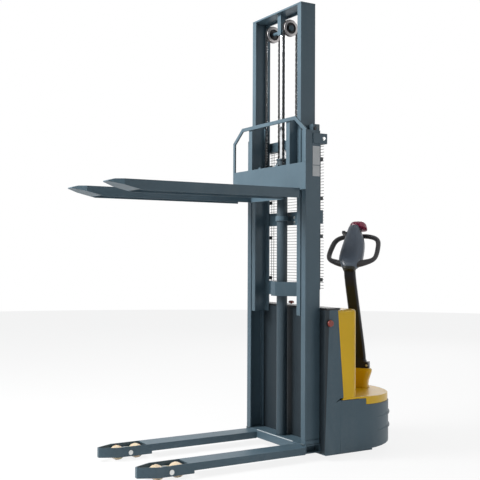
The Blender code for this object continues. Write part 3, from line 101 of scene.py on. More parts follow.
soft_lamp("front_lamp", (-0.8, -3.4, 4.0), (0, 0.2, 1.6), 2.4, 370)
soft_lamp("side_lamp", (5.0, 3.2, 2.2), (0.3, 0.7, 0.6), 2.4, 34)
soft_lamp("rear_lamp", (-4.0, 5.0, 4.0), (0, 0.3, 1.0), 3.0, 90)

# %% [markdown]
# ## A pale floor
# A floor disc catches the machine's shadow. To the camera it is plain white, and so is the
# world behind it: Light Path tells the camera's rays from those that light the machine.

# %% White world and floor


def camera_white(tree, shader, keep_shadow):
    """White to the camera and to reflections, plain light to everything else."""
    nodes, links = tree.nodes, tree.links
    path = nodes.new("ShaderNodeLightPath")
    seen = nodes.new("ShaderNodeMath")
    seen.operation = "MAXIMUM"
    links.new(path.outputs["Is Camera Ray"], seen.inputs[0])
    links.new(path.outputs["Is Glossy Ray"], seen.inputs[1])
    white = nodes.new("ShaderNodeBackground" if shader.type == "BACKGROUND" else "ShaderNodeEmission")
    white.inputs["Color"].default_value = (1, 1, 1, 1)
    white.inputs["Strength"].default_value = 1.0
    mix = nodes.new("ShaderNodeMixShader")
    if keep_shadow:
        share = nodes.new("ShaderNodeMath")
        share.operation = "MULTIPLY"
        share.inputs[1].default_value = keep_shadow
        links.new(seen.outputs[0], share.inputs[0])
        links.new(share.outputs[0], mix.inputs[0])
    else:
        links.new(seen.outputs[0], mix.inputs[0])
    links.new(shader.outputs[0], mix.inputs[1])
    links.new(white.outputs[0], mix.inputs[2])
    return mix


world = bpy.data.worlds.new("studio")
scene.world = world
world.use_nodes = True
ambient = world.node_tree.nodes["Background"]
ambient.inputs["Color"].default_value = (0.92, 0.96, 1.0, 1)
ambient.inputs["Strength"].default_value = 0.22
world.node_tree.links.new(camera_white(world.node_tree, ambient, 0.0).outputs[0],
                          world.node_tree.nodes["World Output"].inputs["Surface"])

bm = bmesh.new()
bmesh.ops.create_circle(bm, cap_ends=True, segments=64, radius=14.0)
mesh = bpy.data.meshes.new("floor")
bm.to_mesh(mesh)
bm.free()
floor = bpy.data.objects.new("floor", mesh)
scene.collection.objects.link(floor)
paper = bpy.data.materials.new("pale_floor")
paper.use_nodes = True
matt = paper.node_tree.nodes["Principled BSDF"]
matt.inputs["Base Color"].default_value = (0.86, 0.86, 0.86, 1)
matt.inputs["Roughness"].default_value = 0.9
paper.node_tree.links.new(camera_white(paper.node_tree, matt, 0.86).outputs[0],
                          paper.node_tree.nodes["Material Output"].inputs["Surface"])
mesh.materials.append(paper)
print("camera lens", round(lens.lens, 2), "mm")

# %% [markdown]
# ## Shader maths as Python
# A Signal is one value that changes over a surface. Adding or multiplying two of them adds
# the Math node that does it, so a finish reads like a formula. Finish is one material: its
# node method makes any other node from its settings and its sockets' values or links.

# %% Signal and Finish


class Signal:
    """A socket that carries a number, with the arithmetic the finishes below use."""

    def __init__(self, finish, socket):
        self.finish = finish
        self.socket = socket

    def _math(self, operation, first, second):
        return self.finish.node("ShaderNodeMath", {"operation": operation}, {0: first, 1: second})

    def __add__(self, other):
        return self._math("ADD", self, other)

    __radd__ = __add__

    def __mul__(self, other):
        return self._math("MULTIPLY", self, other)

    __rmul__ = __mul__

    def __sub__(self, other):
        return self._math("SUBTRACT", self, other)

    def __rsub__(self, other):
        return self._math("SUBTRACT", other, self)


class Finish:
    """One procedural material on a Principled shader."""

    def __init__(self, name, **constants):
        self.material = bpy.data.materials.new(name)
        self.material.use_nodes = True
        self.tree = self.material.node_tree
        self.shader = self.tree.nodes["Principled BSDF"]
        for socket, value in constants.items():
            self.shader.inputs[socket.replace("_", " ")].default_value = value
        self.place = self.node("ShaderNodeTexCoord", {}, {}, "Object")

    def node(self, kind, settings, sockets, output=0):
        made = self.tree.nodes.new(kind)
        for key, value in settings.items():
            if key == "stops":
                ramp = made.color_ramp
                for element, (where, shade) in zip(ramp.elements, value):
                    element.position = where
                    element.color = (shade, shade, shade, 1)
            else:
                setattr(made, key, value)
        for key, value in sockets.items():
            if isinstance(value, Signal):
                self.tree.links.new(value.socket, made.inputs[key])
            else:
                made.inputs[key].default_value = value
        return Signal(self, made.outputs[output])

    def noise(self, scale, detail=3.0, stretch=(1, 1, 1)):
        where = self.place
        if stretch != (1, 1, 1):
            where = self.node("ShaderNodeMapping", {}, {"Vector": where, "Scale": stretch})
        return self.node("ShaderNodeTexNoise", {}, {"Vector": where, "Scale": scale, "Detail": detail}, "Fac")

    def ramp(self, signal, low, high):
        """Zero below low, one above high."""
        return self.node("ShaderNodeValToRGB", {"stops": ((low, 0.0), (high, 1.0))}, {"Fac": signal})

    def blend(self, share, first, second):
        """Mix two colours."""
        def colour(value):
            return value if isinstance(value, Signal) else (*value, 1.0)
        inputs = {0: share, 6: colour(first), 7: colour(second)}
        return self.node("ShaderNodeMix", {"data_type": "RGBA"}, inputs, 2)

    def bump(self, height, distance, strength=1.0):
        inputs = {"Height": height, "Distance": distance, "Strength": strength}
        self.feed(Normal=self.node("ShaderNodeBump", {}, inputs))

    def attribute(self, name):
        return self.node("ShaderNodeAttribute", {"attribute_name": name}, {}, "Fac")

    def feed(self, **signals):
        for socket, signal in signals.items():
            self.tree.links.new(signal.socket, self.shader.inputs[socket.replace("_", " ")])


# %% [markdown]
# ## Powder coat on steel
# The slate-grey coat is thick and a little orange-peeled. It is rubbed thin on the edges,
# dusty in patches, and shows faint smears. One function makes every painted steel, so the
# slate, the yellow and the black coats share their grain and differ in colour and gloss.

# %% Painted finishes


def painted(name, colour, worn, roughness, peel=0.00012, dust=0.10, dusty=(0.30, 0.31, 0.31), coat=0.0):
    finish = Finish(name, Coat_Weight=coat, Coat_Roughness=0.12, Specular_IOR_Level=0.30)
    patches = finish.noise(3.0, 4.0)
    fine = finish.noise(55.0, 5.0)
    smears = finish.noise(9.0, 6.0, (1.0, 1.0, 0.16))
    edge = finish.attribute("edge") * finish.ramp(finish.noise(34.0, 4.0), 0.44, 0.66)
    dark, light = ([c * share for c in colour] for share in (0.90, 1.08))
    tone = finish.blend(finish.ramp(patches, 0.30, 0.72), dark, light)
    film = finish.ramp(smears * 0.7 + fine * 0.3, 0.50, 0.78) * dust
    tone = finish.blend(film, tone, dusty)
    tone = finish.blend(edge * 0.55, tone, worn)
    finish.feed(Base_Color=tone, Roughness=film * 0.9 + fine * 0.12 + edge * 0.15 + (roughness - 0.06))
    finish.bump(finish.noise(420.0, 2.0) * 0.7 + finish.noise(90.0, 2.0) * 0.3, peel)
    return finish


slate = painted("slate_powder_coat", (0.066, 0.108, 0.137), (0.19, 0.23, 0.25), 0.42)
# Painted shade: the slate coat darkened for the lift cylinder, which stands in shade.
slate_painted_shade = painted("slate_painted_shade", (0.040, 0.064, 0.081), (0.19, 0.23, 0.25), 0.42)
yellow = painted("yellow_gloss", (0.78, 0.47, 0.002), (0.86, 0.62, 0.10), 0.33, peel=0.00005, dust=0.03,
                 dusty=(0.60, 0.50, 0.20), coat=0.12)
black_coat = painted("black_coat", (0.014, 0.015, 0.018), (0.09, 0.09, 0.09), 0.36, peel=0.00008, dust=0.06,
                     dusty=(0.12, 0.11, 0.07))
# Painted reflection: an olive tint standing in for the yellow cover reflected in the black arm.
olive_painted_reflection = painted("olive_painted_reflection_coat", (0.017, 0.018, 0.013), (0.08, 0.08, 0.06), 0.34, dust=0.05,
                     dusty=(0.13, 0.11, 0.04))
# Painted shade: a dark coat for the body's shaded front and for a strip standing in for a chamfer's shading.
painted_shade_coat = painted("painted_shade_coat", (0.020, 0.030, 0.038), (0.08, 0.10, 0.11), 0.55, dust=0.14,
                     dusty=(0.10, 0.12, 0.13))
grey_cast = painted("grey_cast_iron", (0.115, 0.120, 0.125), (0.40, 0.40, 0.40), 0.55, peel=0.0005, dust=0.16)
print("painted finishes ready")

# %% [markdown]
# ## Plastics and rubber
# The tiller head is injection moulded: an even colour with a spark-eroded grain. The grips
# are softer and duller. The crimson cap and the red buttons are polished, so their grain is
# almost nothing and a clear coat does the shine. The load wheels are cream polyurethane,
# stained where they roll.

# %% Plastic, polyurethane and rubber


def moulded(name, colour, roughness, grain, coat=0.0, scale=900.0):
    finish = Finish(name, Coat_Weight=coat, Coat_Roughness=0.08, Specular_IOR_Level=0.5)
    cloud = finish.noise(14.0, 3.0)
    hands = finish.ramp(finish.noise(26.0, 5.0), 0.45, 0.75)
    tone = finish.blend(cloud, [c * 0.88 for c in colour], [c * 1.12 for c in colour])
    tone = finish.blend(finish.attribute("edge") * 0.25, tone, [min(1.0, c * 1.6 + 0.02) for c in colour])
    finish.feed(Base_Color=tone, Roughness=hands * 0.10 + (roughness - 0.05))
    finish.bump(finish.noise(scale, 2.0), grain)
    return finish


head_plastic = moulded("blue_grey_moulding", (0.085, 0.110, 0.146), 0.34, 0.00012)
grip_rubber = moulded("black_grip", (0.012, 0.012, 0.014), 0.48, 0.00025, scale=600.0)
black_plastic = moulded("black_moulding", (0.016, 0.017, 0.019), 0.42, 0.00015)
crimson = moulded("crimson_cap", (0.236, 0.006, 0.045), 0.26, 0.00002, coat=0.5)
red = moulded("red_knob", (0.25, 0.030, 0.018), 0.34, 0.00002, coat=0.2)
tyre = moulded("drive_tread", (0.020, 0.019, 0.018), 0.72, 0.0004, scale=240.0)
lens_dark = moulded("gauge_glass", (0.006, 0.008, 0.010), 0.10, 0.0, coat=1.0)
blank_plate = moulded("blank_plate", (0.46, 0.48, 0.49), 0.38, 0.00002)

polyurethane = Finish("cream_polyurethane", Subsurface_Weight=0.12, Subsurface_Scale=0.004)
rolled = polyurethane.ramp(polyurethane.noise(40.0, 6.0, (0.25, 1, 1)), 0.42, 0.70)
cream = polyurethane.blend(rolled * 0.5, (0.66, 0.53, 0.36), (0.36, 0.28, 0.18))
polyurethane.feed(Base_Color=cream, Roughness=rolled * 0.2 + 0.36)
polyurethane.bump(polyurethane.noise(160.0, 4.0), 0.00018)

# %% [markdown]
# ## Bare steel
# The rod is hard chrome with fine drag marks along its length. Rollers, bolts and links are
# machined steel: streaked by the tool, with thin oil that darkens it in patches.

# %% Metals


def machined(name, colour, roughness, streak, oil, grain=0.00006):
    finish = Finish(name, Metallic=1.0)
    drag = finish.noise(110.0, 3.0, streak)
    wet = finish.ramp(finish.noise(22.0, 5.0), 0.42, 0.66)
    tone = finish.blend(drag, [c * 0.86 for c in colour], [min(1.0, c * 1.08) for c in colour])
    tone = finish.blend(wet * oil, tone, (0.045, 0.036, 0.026))
    finish.feed(Base_Color=tone, Roughness=drag * 0.16 - wet * (0.12 * oil) + (roughness - 0.06))
    finish.bump(drag, grain)
    return finish


chrome = machined("hard_chrome", (0.80, 0.82, 0.84), 0.12, (1, 1, 0.02), 0.10, 0.00001)
steel = machined("turned_steel", (0.56, 0.57, 0.58), 0.30, (0.06, 1, 1), 0.25)
zinc = machined("zinc_plated_bolt", (0.70, 0.71, 0.70), 0.32, (1, 1, 1), 0.06)
link_steel = machined("oiled_chain", (0.050, 0.055, 0.060), 0.42, (1, 1, 0.3), 0.45)
pin_steel = machined("bright_chain_pin", (0.78, 0.79, 0.80), 0.24, (1, 1, 1), 0.04)
sheave_rim = machined("worn_sheave_rim", (0.40, 0.38, 0.38), 0.46, (0.06, 1, 1), 0.10)
wire_coat = painted("dark_wire_coat", (0.040, 0.048, 0.052), (0.20, 0.20, 0.20), 0.40, dust=0.05)
weld_steel = painted("painted_weld", (0.082, 0.115, 0.132), (0.25, 0.28, 0.29), 0.34, peel=0.0004)
weld_bright = painted("brushed_weld", (0.42, 0.47, 0.50), (0.60, 0.62, 0.64), 0.34, peel=0.0004, dust=0.04)
print("metals ready")

# %% [markdown]
# ## Softened edges
# Folded and welded steel has no knife edges: every corner has a radius that catches a thin
# line of light. Each solid is copied, its loose triangles are merged back into whole faces,
# and its sharp edges are bevelled. The bevel's faces are marked in an attribute, so the
# finishes know where an edge is and can rub the paint thin there.

# %% Soften a solid
SHARP = math.radians(28.0)
pieces_made = []


def finish_piece(bm, name, finish, body, edge_faces=(), weighted=True):
    """Turn a bmesh into a piece that rides on a body."""
    layer = bm.faces.layers.float.new("edge")
    for face in edge_faces:
        if face.is_valid:
            face[layer] = 1.0
    for face in bm.faces:
        face.smooth = True
    mesh = bpy.data.meshes.new(name)
    bm.to_mesh(mesh)
    bm.free()
    mesh.materials.append(finish.material)
    mesh.set_sharp_from_angle(angle=math.radians(50.0))
    piece = bpy.data.objects.new(name, mesh)
    scene.collection.objects.link(piece)
    if weighted:
        modifier = piece.modifiers.new("flat_faces_stay_flat", "WEIGHTED_NORMAL")
        modifier.keep_sharp = True
    if body:
        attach(piece, body)
    pieces_made.append(piece)
    return piece


def solid_of(node):
    """A merged copy of a node's mesh, in whole faces."""
    bm = bmesh.new()
    bm.from_mesh(frame["nodes"][node].data)
    bmesh.ops.remove_doubles(bm, verts=bm.verts, dist=1e-5)
    bmesh.ops.dissolve_limit(bm, angle_limit=math.radians(1.0), verts=bm.verts, edges=bm.edges)
    return bm


def corners(box):
    """The two corners of a box as vectors."""
    return [Vector(corner) for corner in box]


def split_at(bm, point, normal):
    """Cut all faces along a plane."""
    bmesh.ops.bisect_plane(bm, geom=bm.verts[:] + bm.edges[:] + bm.faces[:], plane_co=point, plane_no=normal)


def bevel_sharp(bm, width, segments=2):
    edges = [e for e in bm.edges if len(e.link_faces) == 2 and e.calc_face_angle(0.0) > SHARP]
    made = bmesh.ops.bevel(bm, geom=edges, offset=width, offset_type="OFFSET", segments=segments,
                           profile=0.5, affect="EDGES", clamp_overlap=True, material=-1)
    return made["faces"]


body_of = {node: body for body, nodes in frame["record"]["behaviour"]["bodies"].items() for node in nodes}


def soften(node, finish, width=0.0012, segments=2, change=None):
    bm = solid_of(node)
    if change:
        change(bm)
    faces = bevel_sharp(bm, width, segments)
    piece = finish_piece(bm, node + "_shown", finish, body_of[node], faces)
    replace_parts(piece, node)
    return piece


TIP_BELOW, TIP_LIFT = 0.020, 0.007
REST_BELOW, REST_LIFT = 0.0361, 0.013


def raise_underside(bm):
    """Lift the lowest edges: the tip's by a little, the rest by more."""
    for vert in bm.verts:
        if vert.co.z < TIP_BELOW:
            vert.co.z += TIP_LIFT
        elif vert.co.z < REST_BELOW:
            vert.co.z += REST_LIFT


both = ("left", "right")
for side in both:
    soften("outer_mast_" + side, slate, 0.0022, 3)
    soften("inner_mast_" + side, slate, 0.0022, 3)
    soften("carriage_side_" + side, slate, 0.0015)
    soften("fork_" + side, slate, 0.0012)
    soften("support_leg_" + side, slate, 0.0012, 2, raise_underside)
    soften("bogie_" + side, zinc, 0.0006)
    soften("guide_roller_" + side, steel, 0.0012)
    soften("inner_roller_" + side, steel, 0.0015)
    for level in ("low", "high"):
        soften(f"carriage_roller_{side}_{level}", steel, 0.0015)
    for end in ("front", "rear"):
        soften(f"load_wheel_{side}_{end}", polyurethane, 0.0030, 3)
soften("base_crossbeam", slate, 0.0012, 2, raise_underside)
for node in ("mast_top_tie", "inner_mast_top_beam", "inner_mast_lower_tie",
             "carriage_plate", "load_backrest", "chassis_frame"):
    soften(node, slate, 0.0012)
tie = soften("mast_mid_tie", slate, 0.0012)
tie_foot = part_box("mast_mid_tie")[0][2]
tie.data.transform(Matrix.Translation((0, 0, tie_foot)) @ Matrix.Diagonal((1, 1, 1.33, 1))
                   @ Matrix.Translation((0, 0, -tie_foot)))
soften("steering_head", grey_cast, 0.0012)
soften("drive_motor", black_coat, 0.0012)
soften("drive_wheel", tyre, 0.0010)
soften("battery_lid", black_plastic, 0.0030, 3)
soften("battery_pack", black_plastic, 0.0030)
soften("hydraulic_power_unit", steel, 0.0020)
soften("lift_rod", chrome, 0.0008)
soften("emergency_stop", red, 0.0012)
soften("key_switch", zinc, 0.0005)
soften("battery_disconnect_knob", red, 0.0010)
# The lift cylinder takes the slate coat darkened into painted shade.
soften("lift_cylinder", slate_painted_shade, 0.0012)
wings = soften("throttle_wings", black_plastic, 0.0012)
wings.data.transform(Matrix.Translation((-0.0104, -0.0262, -0.0257)))
soften("lift_rocker", black_plastic, 0.0008)
print(len(pieces_made), "softened pieces")

# %% [markdown]
# ## Small tools for small pieces
# Bolts, welds and wires are all made from three moves: a block, a rod between two
# points, and a ring that is extruded along a path. Places are given from the mast's front
# plane, because almost everything on the truck is set out from the mast.

# %% Helpers for added pieces
MAST_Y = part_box("outer_mast_left")[0][1]


def at(x, y, z):
    return Vector((x, MAST_Y + y, z))


def block(bm, low, high, bevel=0.0, segments=2):
    """A box between two corners, with its edges rounded."""
    low, high = Vector(low), Vector(high)
    size = high - low
    move = Matrix.Translation((low + high) / 2) @ Matrix.Diagonal((*size, 1.0))
    made = bmesh.ops.create_cube(bm, size=1.0, matrix=move)["verts"]
    if bevel:
        edges = list({e for v in made for e in v.link_edges})
        bmesh.ops.bevel(bm, geom=edges, offset=bevel, offset_type="OFFSET", segments=segments, profile=0.5,
                        affect="EDGES", clamp_overlap=True, material=-1)


def aim(start, end):
    """Stand the Z axis on the line from start to end."""
    start, end = Vector(start), Vector(end)
    turn = Vector((0, 0, 1)).rotation_difference(end - start).to_matrix().to_4x4()
    return Matrix.Translation((start + end) / 2) @ turn, (end - start).length


def rod(bm, start, end, radius, sides=12, end_radius=None):
    move, length = aim(start, end)
    top = radius if end_radius is None else end_radius
    bmesh.ops.create_cone(bm, cap_ends=True, segments=sides, radius1=radius, radius2=top, depth=length,
                          matrix=move)


def sweep(bm, path, radii, sides=12, turn=0.0):
    """Extrude a ring along a path; each radius is one number or a pair for an oval."""
    path = [Vector(p) for p in path]
    radii = [(r, r) if isinstance(r, (int, float)) else r for r in radii]
    frames, side = [], None
    for i, place in enumerate(path):
        ahead = (path[min(i + 1, len(path) - 1)] - path[max(i - 1, 0)]).normalized()
        if side is None:
            guess = Vector((0, 0, 1)) if abs(ahead.z) < 0.9 else Vector((1, 0, 0))
            side = Matrix.Rotation(turn, 3, ahead) @ guess.cross(ahead).normalized()
        side = (side - ahead * side.dot(ahead)).normalized()
        up = ahead.cross(side)
        rows = Matrix((side * radii[i][0], up * radii[i][1], ahead)).transposed().to_4x4()
        frames.append(Matrix.Translation(place) @ rows)
    ring = bmesh.ops.create_circle(bm, cap_ends=True, segments=sides, radius=1.0, matrix=frames[0])["verts"]
    edges = [e for e in bm.edges if e.verts[0] in ring and e.verts[1] in ring]
    for before, after in zip(frames, frames[1:]):
        grown = bmesh.ops.extrude_edge_only(bm, edges=edges)["geom"]
        ring = [g for g in grown if isinstance(g, bmesh.types.BMVert)]
        edges = [g for g in grown if isinstance(g, bmesh.types.BMEdge)]
        bmesh.ops.transform(bm, matrix=after @ before.inverted(), verts=ring)
    bmesh.ops.edgeloop_fill(bm, edges=edges)


def spun(bm, profile, start, end, sides=32):
    """Turn a closed profile of (radius, height) pairs about the line from start to end."""
    move, length = aim(start, end)
    verts = [bm.verts.new((radius, 0.0, height * length - length / 2)) for radius, height in profile]
    edges = [bm.edges.new(pair) for pair in zip(verts, verts[1:])]
    made = bmesh.ops.spin(bm, geom=verts + edges, axis=(0, 0, 1), cent=(0, 0, 0), angle=2 * math.pi,
                          steps=sides, use_merge=True)
    ring = {v for f in bm.faces if any(v in verts for v in f.verts) for v in f.verts}
    todo, seen = list(verts), set(verts)
    while todo:
        vert = todo.pop()
        for edge in vert.link_edges:
            other = edge.other_vert(vert)
            if other not in seen:
                seen.add(other)
                todo.append(other)
    bmesh.ops.transform(bm, matrix=move, verts=list(seen | ring))
    bmesh.ops.remove_doubles(bm, verts=list(seen), dist=1e-6)
    return made


def bolt(bm, foot, out, size):
    """A hexagon head on its washer, from its foot along the direction out."""
    foot, out = Vector(foot), Vector(out).normalized()
    rod(bm, foot, foot + out * size * 0.22, size * 1.15, 20)
    rod(bm, foot + out * size * 0.2, foot + out * size * 0.85, size * 0.92, 6)


def added(bm, name, finish, body, weighted=True, edge_width=0.0):
    """Close a bmesh as a new piece."""
    bmesh.ops.recalc_face_normals(bm, faces=bm.faces)
    faces = bevel_sharp(bm, edge_width, 2) if edge_width else ()
    piece = finish_piece(bm, name, finish, body, faces, weighted)
    return piece


print("mast front plane at", round(MAST_Y, 4))

# %% [markdown]
# ## Leaf chains
# A lift chain is a stack of flat plates on pins, narrow and strong. One pitch holds plates in
# two columns that take turns. The plates are duplicated along the strand, so one pitch is
# kept to a few dozen faces. A strand runs from a body that moves to one that stays; it is
# laid in three lengths, which are not tied to any body.

# %% One pitch of chain
PITCH = 0.0159
CHAIN_X = (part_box("chain_front_right")[0][0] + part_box("chain_front_right")[1][0]) / 2


def plate(bm, x, half_pitch, centre):
    """A stadium plate across two pins."""
    made = bmesh.ops.create_circle(bm, cap_ends=True, segments=10, radius=0.0058,
                                   matrix=Matrix.Rotation(math.pi / 2, 4, "Y"))["verts"]
    for vert in made:
        vert.co.z += half_pitch if vert.co.z > 0 else -half_pitch
    face = next(f for f in made[0].link_faces if all(v in made for v in f.verts))
    grown = bmesh.ops.extrude_face_region(bm, geom=[face])["geom"]
    outer = [g for g in grown if isinstance(g, bmesh.types.BMVert)]
    bmesh.ops.translate(bm, verts=outer, vec=(0.0019, 0, 0))
    bmesh.ops.translate(bm, verts=made + outer, vec=(x, 0, centre))


def one_link(slots, name):
    """The plates of one pitch with the pin at its upper end, as a mesh to copy."""
    bm = bmesh.new()
    for slot_x in slots:
        plate(bm, slot_x, PITCH / 2, 0.0)
    plates = len(bm.faces)
    rod(bm, (-0.0074, 0, PITCH / 2), (0.0074, 0, PITCH / 2), 0.0034, 8)
    for end in (-0.0074, 0.0064):
        rod(bm, (end, 0, PITCH / 2), (end + 0.0010, 0, PITCH / 2), 0.0040, 8)
    bmesh.ops.recalc_face_normals(bm, faces=bm.faces)
    for face in list(bm.faces)[plates:]:
        face.material_index = 1
    mesh = bpy.data.meshes.new(name)
    bm.to_mesh(mesh)
    bm.free()
    return mesh


links = (one_link((-0.0064, -0.0010, 0.0044), "wide_link"), one_link((-0.0037, 0.0017), "narrow_link"))


def lay_links(places):
    """The two kinds of link in turn, one at every matrix."""
    bm = bmesh.new()
    for i, place in enumerate(places):
        known = len(bm.verts)
        bm.from_mesh(links[i % 2])
        bm.verts.ensure_lookup_table()
        bmesh.ops.transform(bm, matrix=place, verts=bm.verts[known:])
    return bm


def chain_piece(places, name, body):
    piece = finish_piece(lay_links(places), name, link_steel, body, (), False)
    piece.data.materials.append(pin_steel.material)
    return piece


print("link faces", [len(mesh.polygons) for mesh in links])

# %% Strands and the turns over the sheaves
SPREAD = ((0.0, 0.2, 0.0, 0.697), (0.2, 0.8, -0.204, 1.204), (0.8, 1.0, 0.303, 1.0))


def strand(node, chain_name):
    low, high = corners(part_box(node))
    middle = (low + high) / 2
    length = high.z - low.z
    for part, (first, last, start, end) in enumerate(SPREAD):
        count = 2 * round(length / PITCH / 2)
        heights = [low.z + length * (i + 0.5) / count for i in range(count) if first <= i / count < last]
        places = [Matrix.Translation((middle.x, middle.y, z)) for z in heights]
        piece = chain_piece(places, f"{chain_name}_{part}", None)
        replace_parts(piece, node)
        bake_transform(piece)
    return high.z


for side in both:
    top = strand("chain_front_" + side, "front_chain_" + side)
    strand("chain_rear_" + side, "rear_chain_" + side)
    front = (Vector(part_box("chain_front_" + side)[0]) + Vector(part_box("chain_front_" + side)[1])) / 2
    rear = (Vector(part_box("chain_rear_" + side)[0]) + Vector(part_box("chain_rear_" + side)[1])) / 2
    hub = Vector((front.x, (front.y + rear.y) / 2, top))
    reach = (rear.y - front.y) / 2
    count = 2 * round(math.pi * reach / PITCH / 2)
    turns = [math.pi * (i + 0.5) / count for i in range(count)]
    places = [Matrix.Translation(hub) @ Matrix.Rotation(-turn, 4, "X") @ Matrix.Translation((0, -reach, 0))
              for turn in turns]
    chain_piece(places, "chain_turn_" + side, "inner_mast")
print("chain at x", round(CHAIN_X, 4), "turn radius", round(reach, 4))

# %% [markdown]
# ## Sheaves
# Each chain runs over a flanged sheave with a deep dished side and a hub bored for the pin.
# A profile of the dish is spun about the pin, so the shadow in it is real.

# %% Dished sheaves
for side in both:
    low, high = corners(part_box("chain_sheave_" + side))
    middle, rim = (low + high) / 2, (high.z - low.z) / 2
    half = (high.x - low.x) / 2
    groove = rim - 0.007
    dish, hub_edge, pin = rim * 0.66, rim * 0.40, 0.0105
    inner, web = half - 0.003, 0.0035
    outline = [(pin, half - 0.001), (hub_edge, half - 0.001), (hub_edge + 0.002, web), (dish, web),
               (dish + 0.002, half), (rim - 0.001, half), (rim, half - 0.001), (rim, inner), (groove, inner)]
    outline += [(radius, -height) for radius, height in reversed(outline)]
    outline.append(outline[0])
    bm = bmesh.new()
    spun(bm, [(radius, 0.5 + height) for radius, height in outline], middle - Vector((0.5, 0, 0)),
         middle + Vector((0.5, 0, 0)), 48)
    piece = added(bm, "dished_sheave_" + side, sheave_rim, body_of["chain_sheave_" + side])
    piece.data.materials.append(black_coat.material)
    for face in piece.data.polygons:
        middle_of_face = face.center - middle
        if math.hypot(middle_of_face.y, middle_of_face.z) < dish + 0.001:
            face.material_index = 1
    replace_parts(piece, "chain_sheave_" + side)
print("sheaves", round(rim, 4), "groove", round(groove, 4))

# %% [markdown]
# ## The guard behind the mast
# A welded mesh keeps hands out of the mast. It is two layers of wire, and its rungs are only
# a finger apart, so it is swept wire by wire with few sides to each. Four clips on each
# side hold it.

# %% Mesh guard
guard_low, guard_high = corners(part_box("mesh_guard"))
GUARD_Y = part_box("mast_top_tie")[1][1] - MAST_Y + 0.0018
RUNG_STEP = 0.0175
bm = bmesh.new()
half = guard_high.x - 0.002
rungs = int((guard_high.z - guard_low.z - 0.02) / RUNG_STEP)
for i in range(rungs + 1):
    height = guard_high.z - 0.012 - i * RUNG_STEP
    rod(bm, at(-half, GUARD_Y, height), at(half, GUARD_Y, height), 0.0015, 6)
STAYS = (-0.276, -0.251, -0.150, 0.150, 0.251)
for x in STAYS:
    foot, head = (at(x, GUARD_Y + 0.0030, z) for z in (guard_low.z + 0.002, guard_high.z - 0.002))
    rod(bm, foot, head, 0.0018, 6)
guard = added(bm, "guard_wires", wire_coat, "chassis", False)
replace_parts(guard, "mesh_guard")
bm = bmesh.new()
CLIPS = (1.754, 1.522, 1.298, 1.041)
CLIP_HALF, CLIP_REACH = 0.011, 0.024
for height in CLIPS:
    for sign in (-1, 1):
        edge = sign * (half - 0.004)
        x0, x1 = sorted((edge, edge - sign * CLIP_REACH))
        low, high = height - CLIP_HALF, height + CLIP_HALF
        block(bm, at(x0, GUARD_Y - 0.0042, low), at(x1, GUARD_Y - 0.0017, high), 0.0006)
        block(bm, at(edge - 0.004, GUARD_Y - 0.040, low), at(edge - 0.001, GUARD_Y - 0.0017, high), 0.0006)
        pin_x = edge - sign * CLIP_REACH / 2
        rod(bm, at(pin_x, GUARD_Y - 0.001, height), at(pin_x, GUARD_Y + 0.004, height), 0.005, 10)
added(bm, "guard_clips", wire_coat, "chassis")
print("guard:", rungs + 1, "rungs and", len(STAYS), "stays")

# %% [markdown]
# ## Around the mast's head and feet
# The top tie ends in ears that grip the columns' sides. Above them stands a small bracket
# with the guide roller's bolt. Two bare plates on the column mark where signs would be.
# Weld beads run where the frame was joined: a bead is a swept ring whose radius swells at
# every puddle.

# %% Ears, brackets and plates
OUTER_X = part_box("outer_mast_left")[1][0]
tie_low, tie_high = corners(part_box("mast_top_tie"))
tie_rear = tie_high.y - MAST_Y
column_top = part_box("outer_mast_left")[1][2]
bm = bmesh.new()
for sign in (-1, 1):
    x0, x1 = sorted((sign * (OUTER_X + 0.0003), sign * (OUTER_X + 0.0063)))
    block(bm, at(x0, 0.050, tie_low.z), at(x1, tie_rear - 0.0005, tie_high.z), 0.0012)
    x0, x1 = sorted((sign * (OUTER_X - 0.036), sign * (OUTER_X - 0.0005)))
    block(bm, at(x0, 0.052, column_top + 0.0004), at(x1, 0.099, column_top + 0.036), 0.0012)
added(bm, "tie_ears", slate, "chassis")
bm = bmesh.new()
for sign in (-1, 1):
    face = sign * (OUTER_X - 0.0004)
    bolt(bm, at(face, 0.064, column_top + 0.010), (sign, 0, 0), 0.0095)
added(bm, "guide_bolts", black_coat, "chassis")
bm = bmesh.new()
for sign in (-1, 1):
    x0, x1 = sorted((sign * (OUTER_X - 0.0004), sign * (OUTER_X + 0.0016)))
    block(bm, at(x0, 0.074, column_top + 0.012), at(x1, 0.094, column_top + 0.030), 0.0006)
added(bm, "guide_shims", weld_steel, "chassis")
bm = bmesh.new()
block(bm, at(OUTER_X + 0.0002, 0.049, 1.712), at(OUTER_X + 0.0010, 0.100, 1.822), 0.0003, 1)
block(bm, at(OUTER_X + 0.0002, 0.049, 1.646), at(OUTER_X + 0.0010, 0.100, 1.709), 0.0003, 1)
added(bm, "bare_plates", blank_plate, "chassis")
bm = bmesh.new()
for sign in (-1, 1):
    x0, x1 = sorted((sign * (OUTER_X + 0.0003), sign * (OUTER_X + 0.0040)))
    block(bm, at(x0, 0.002, 0.0945), at(x1, 0.101, 0.1180), 0.0010)
added(bm, "column_shoes", slate, "chassis")
print("ears on the tie at", round(tie_low.z, 3))

# %% Weld beads
PUDDLE = 0.0042


def bead(bm, start, end, radius):
    """A weld bead that swells at every puddle."""
    start, end = Vector(start), Vector(end)
    steps = max(4, round((end - start).length / PUDDLE) * 2)
    path = [start.lerp(end, i / steps) for i in range(steps + 1)]
    radii = [radius * (0.45 if i in (0, steps) else 1.0 + 0.16 * (i % 2)) for i in range(steps + 1)]
    sweep(bm, path, radii, 8)


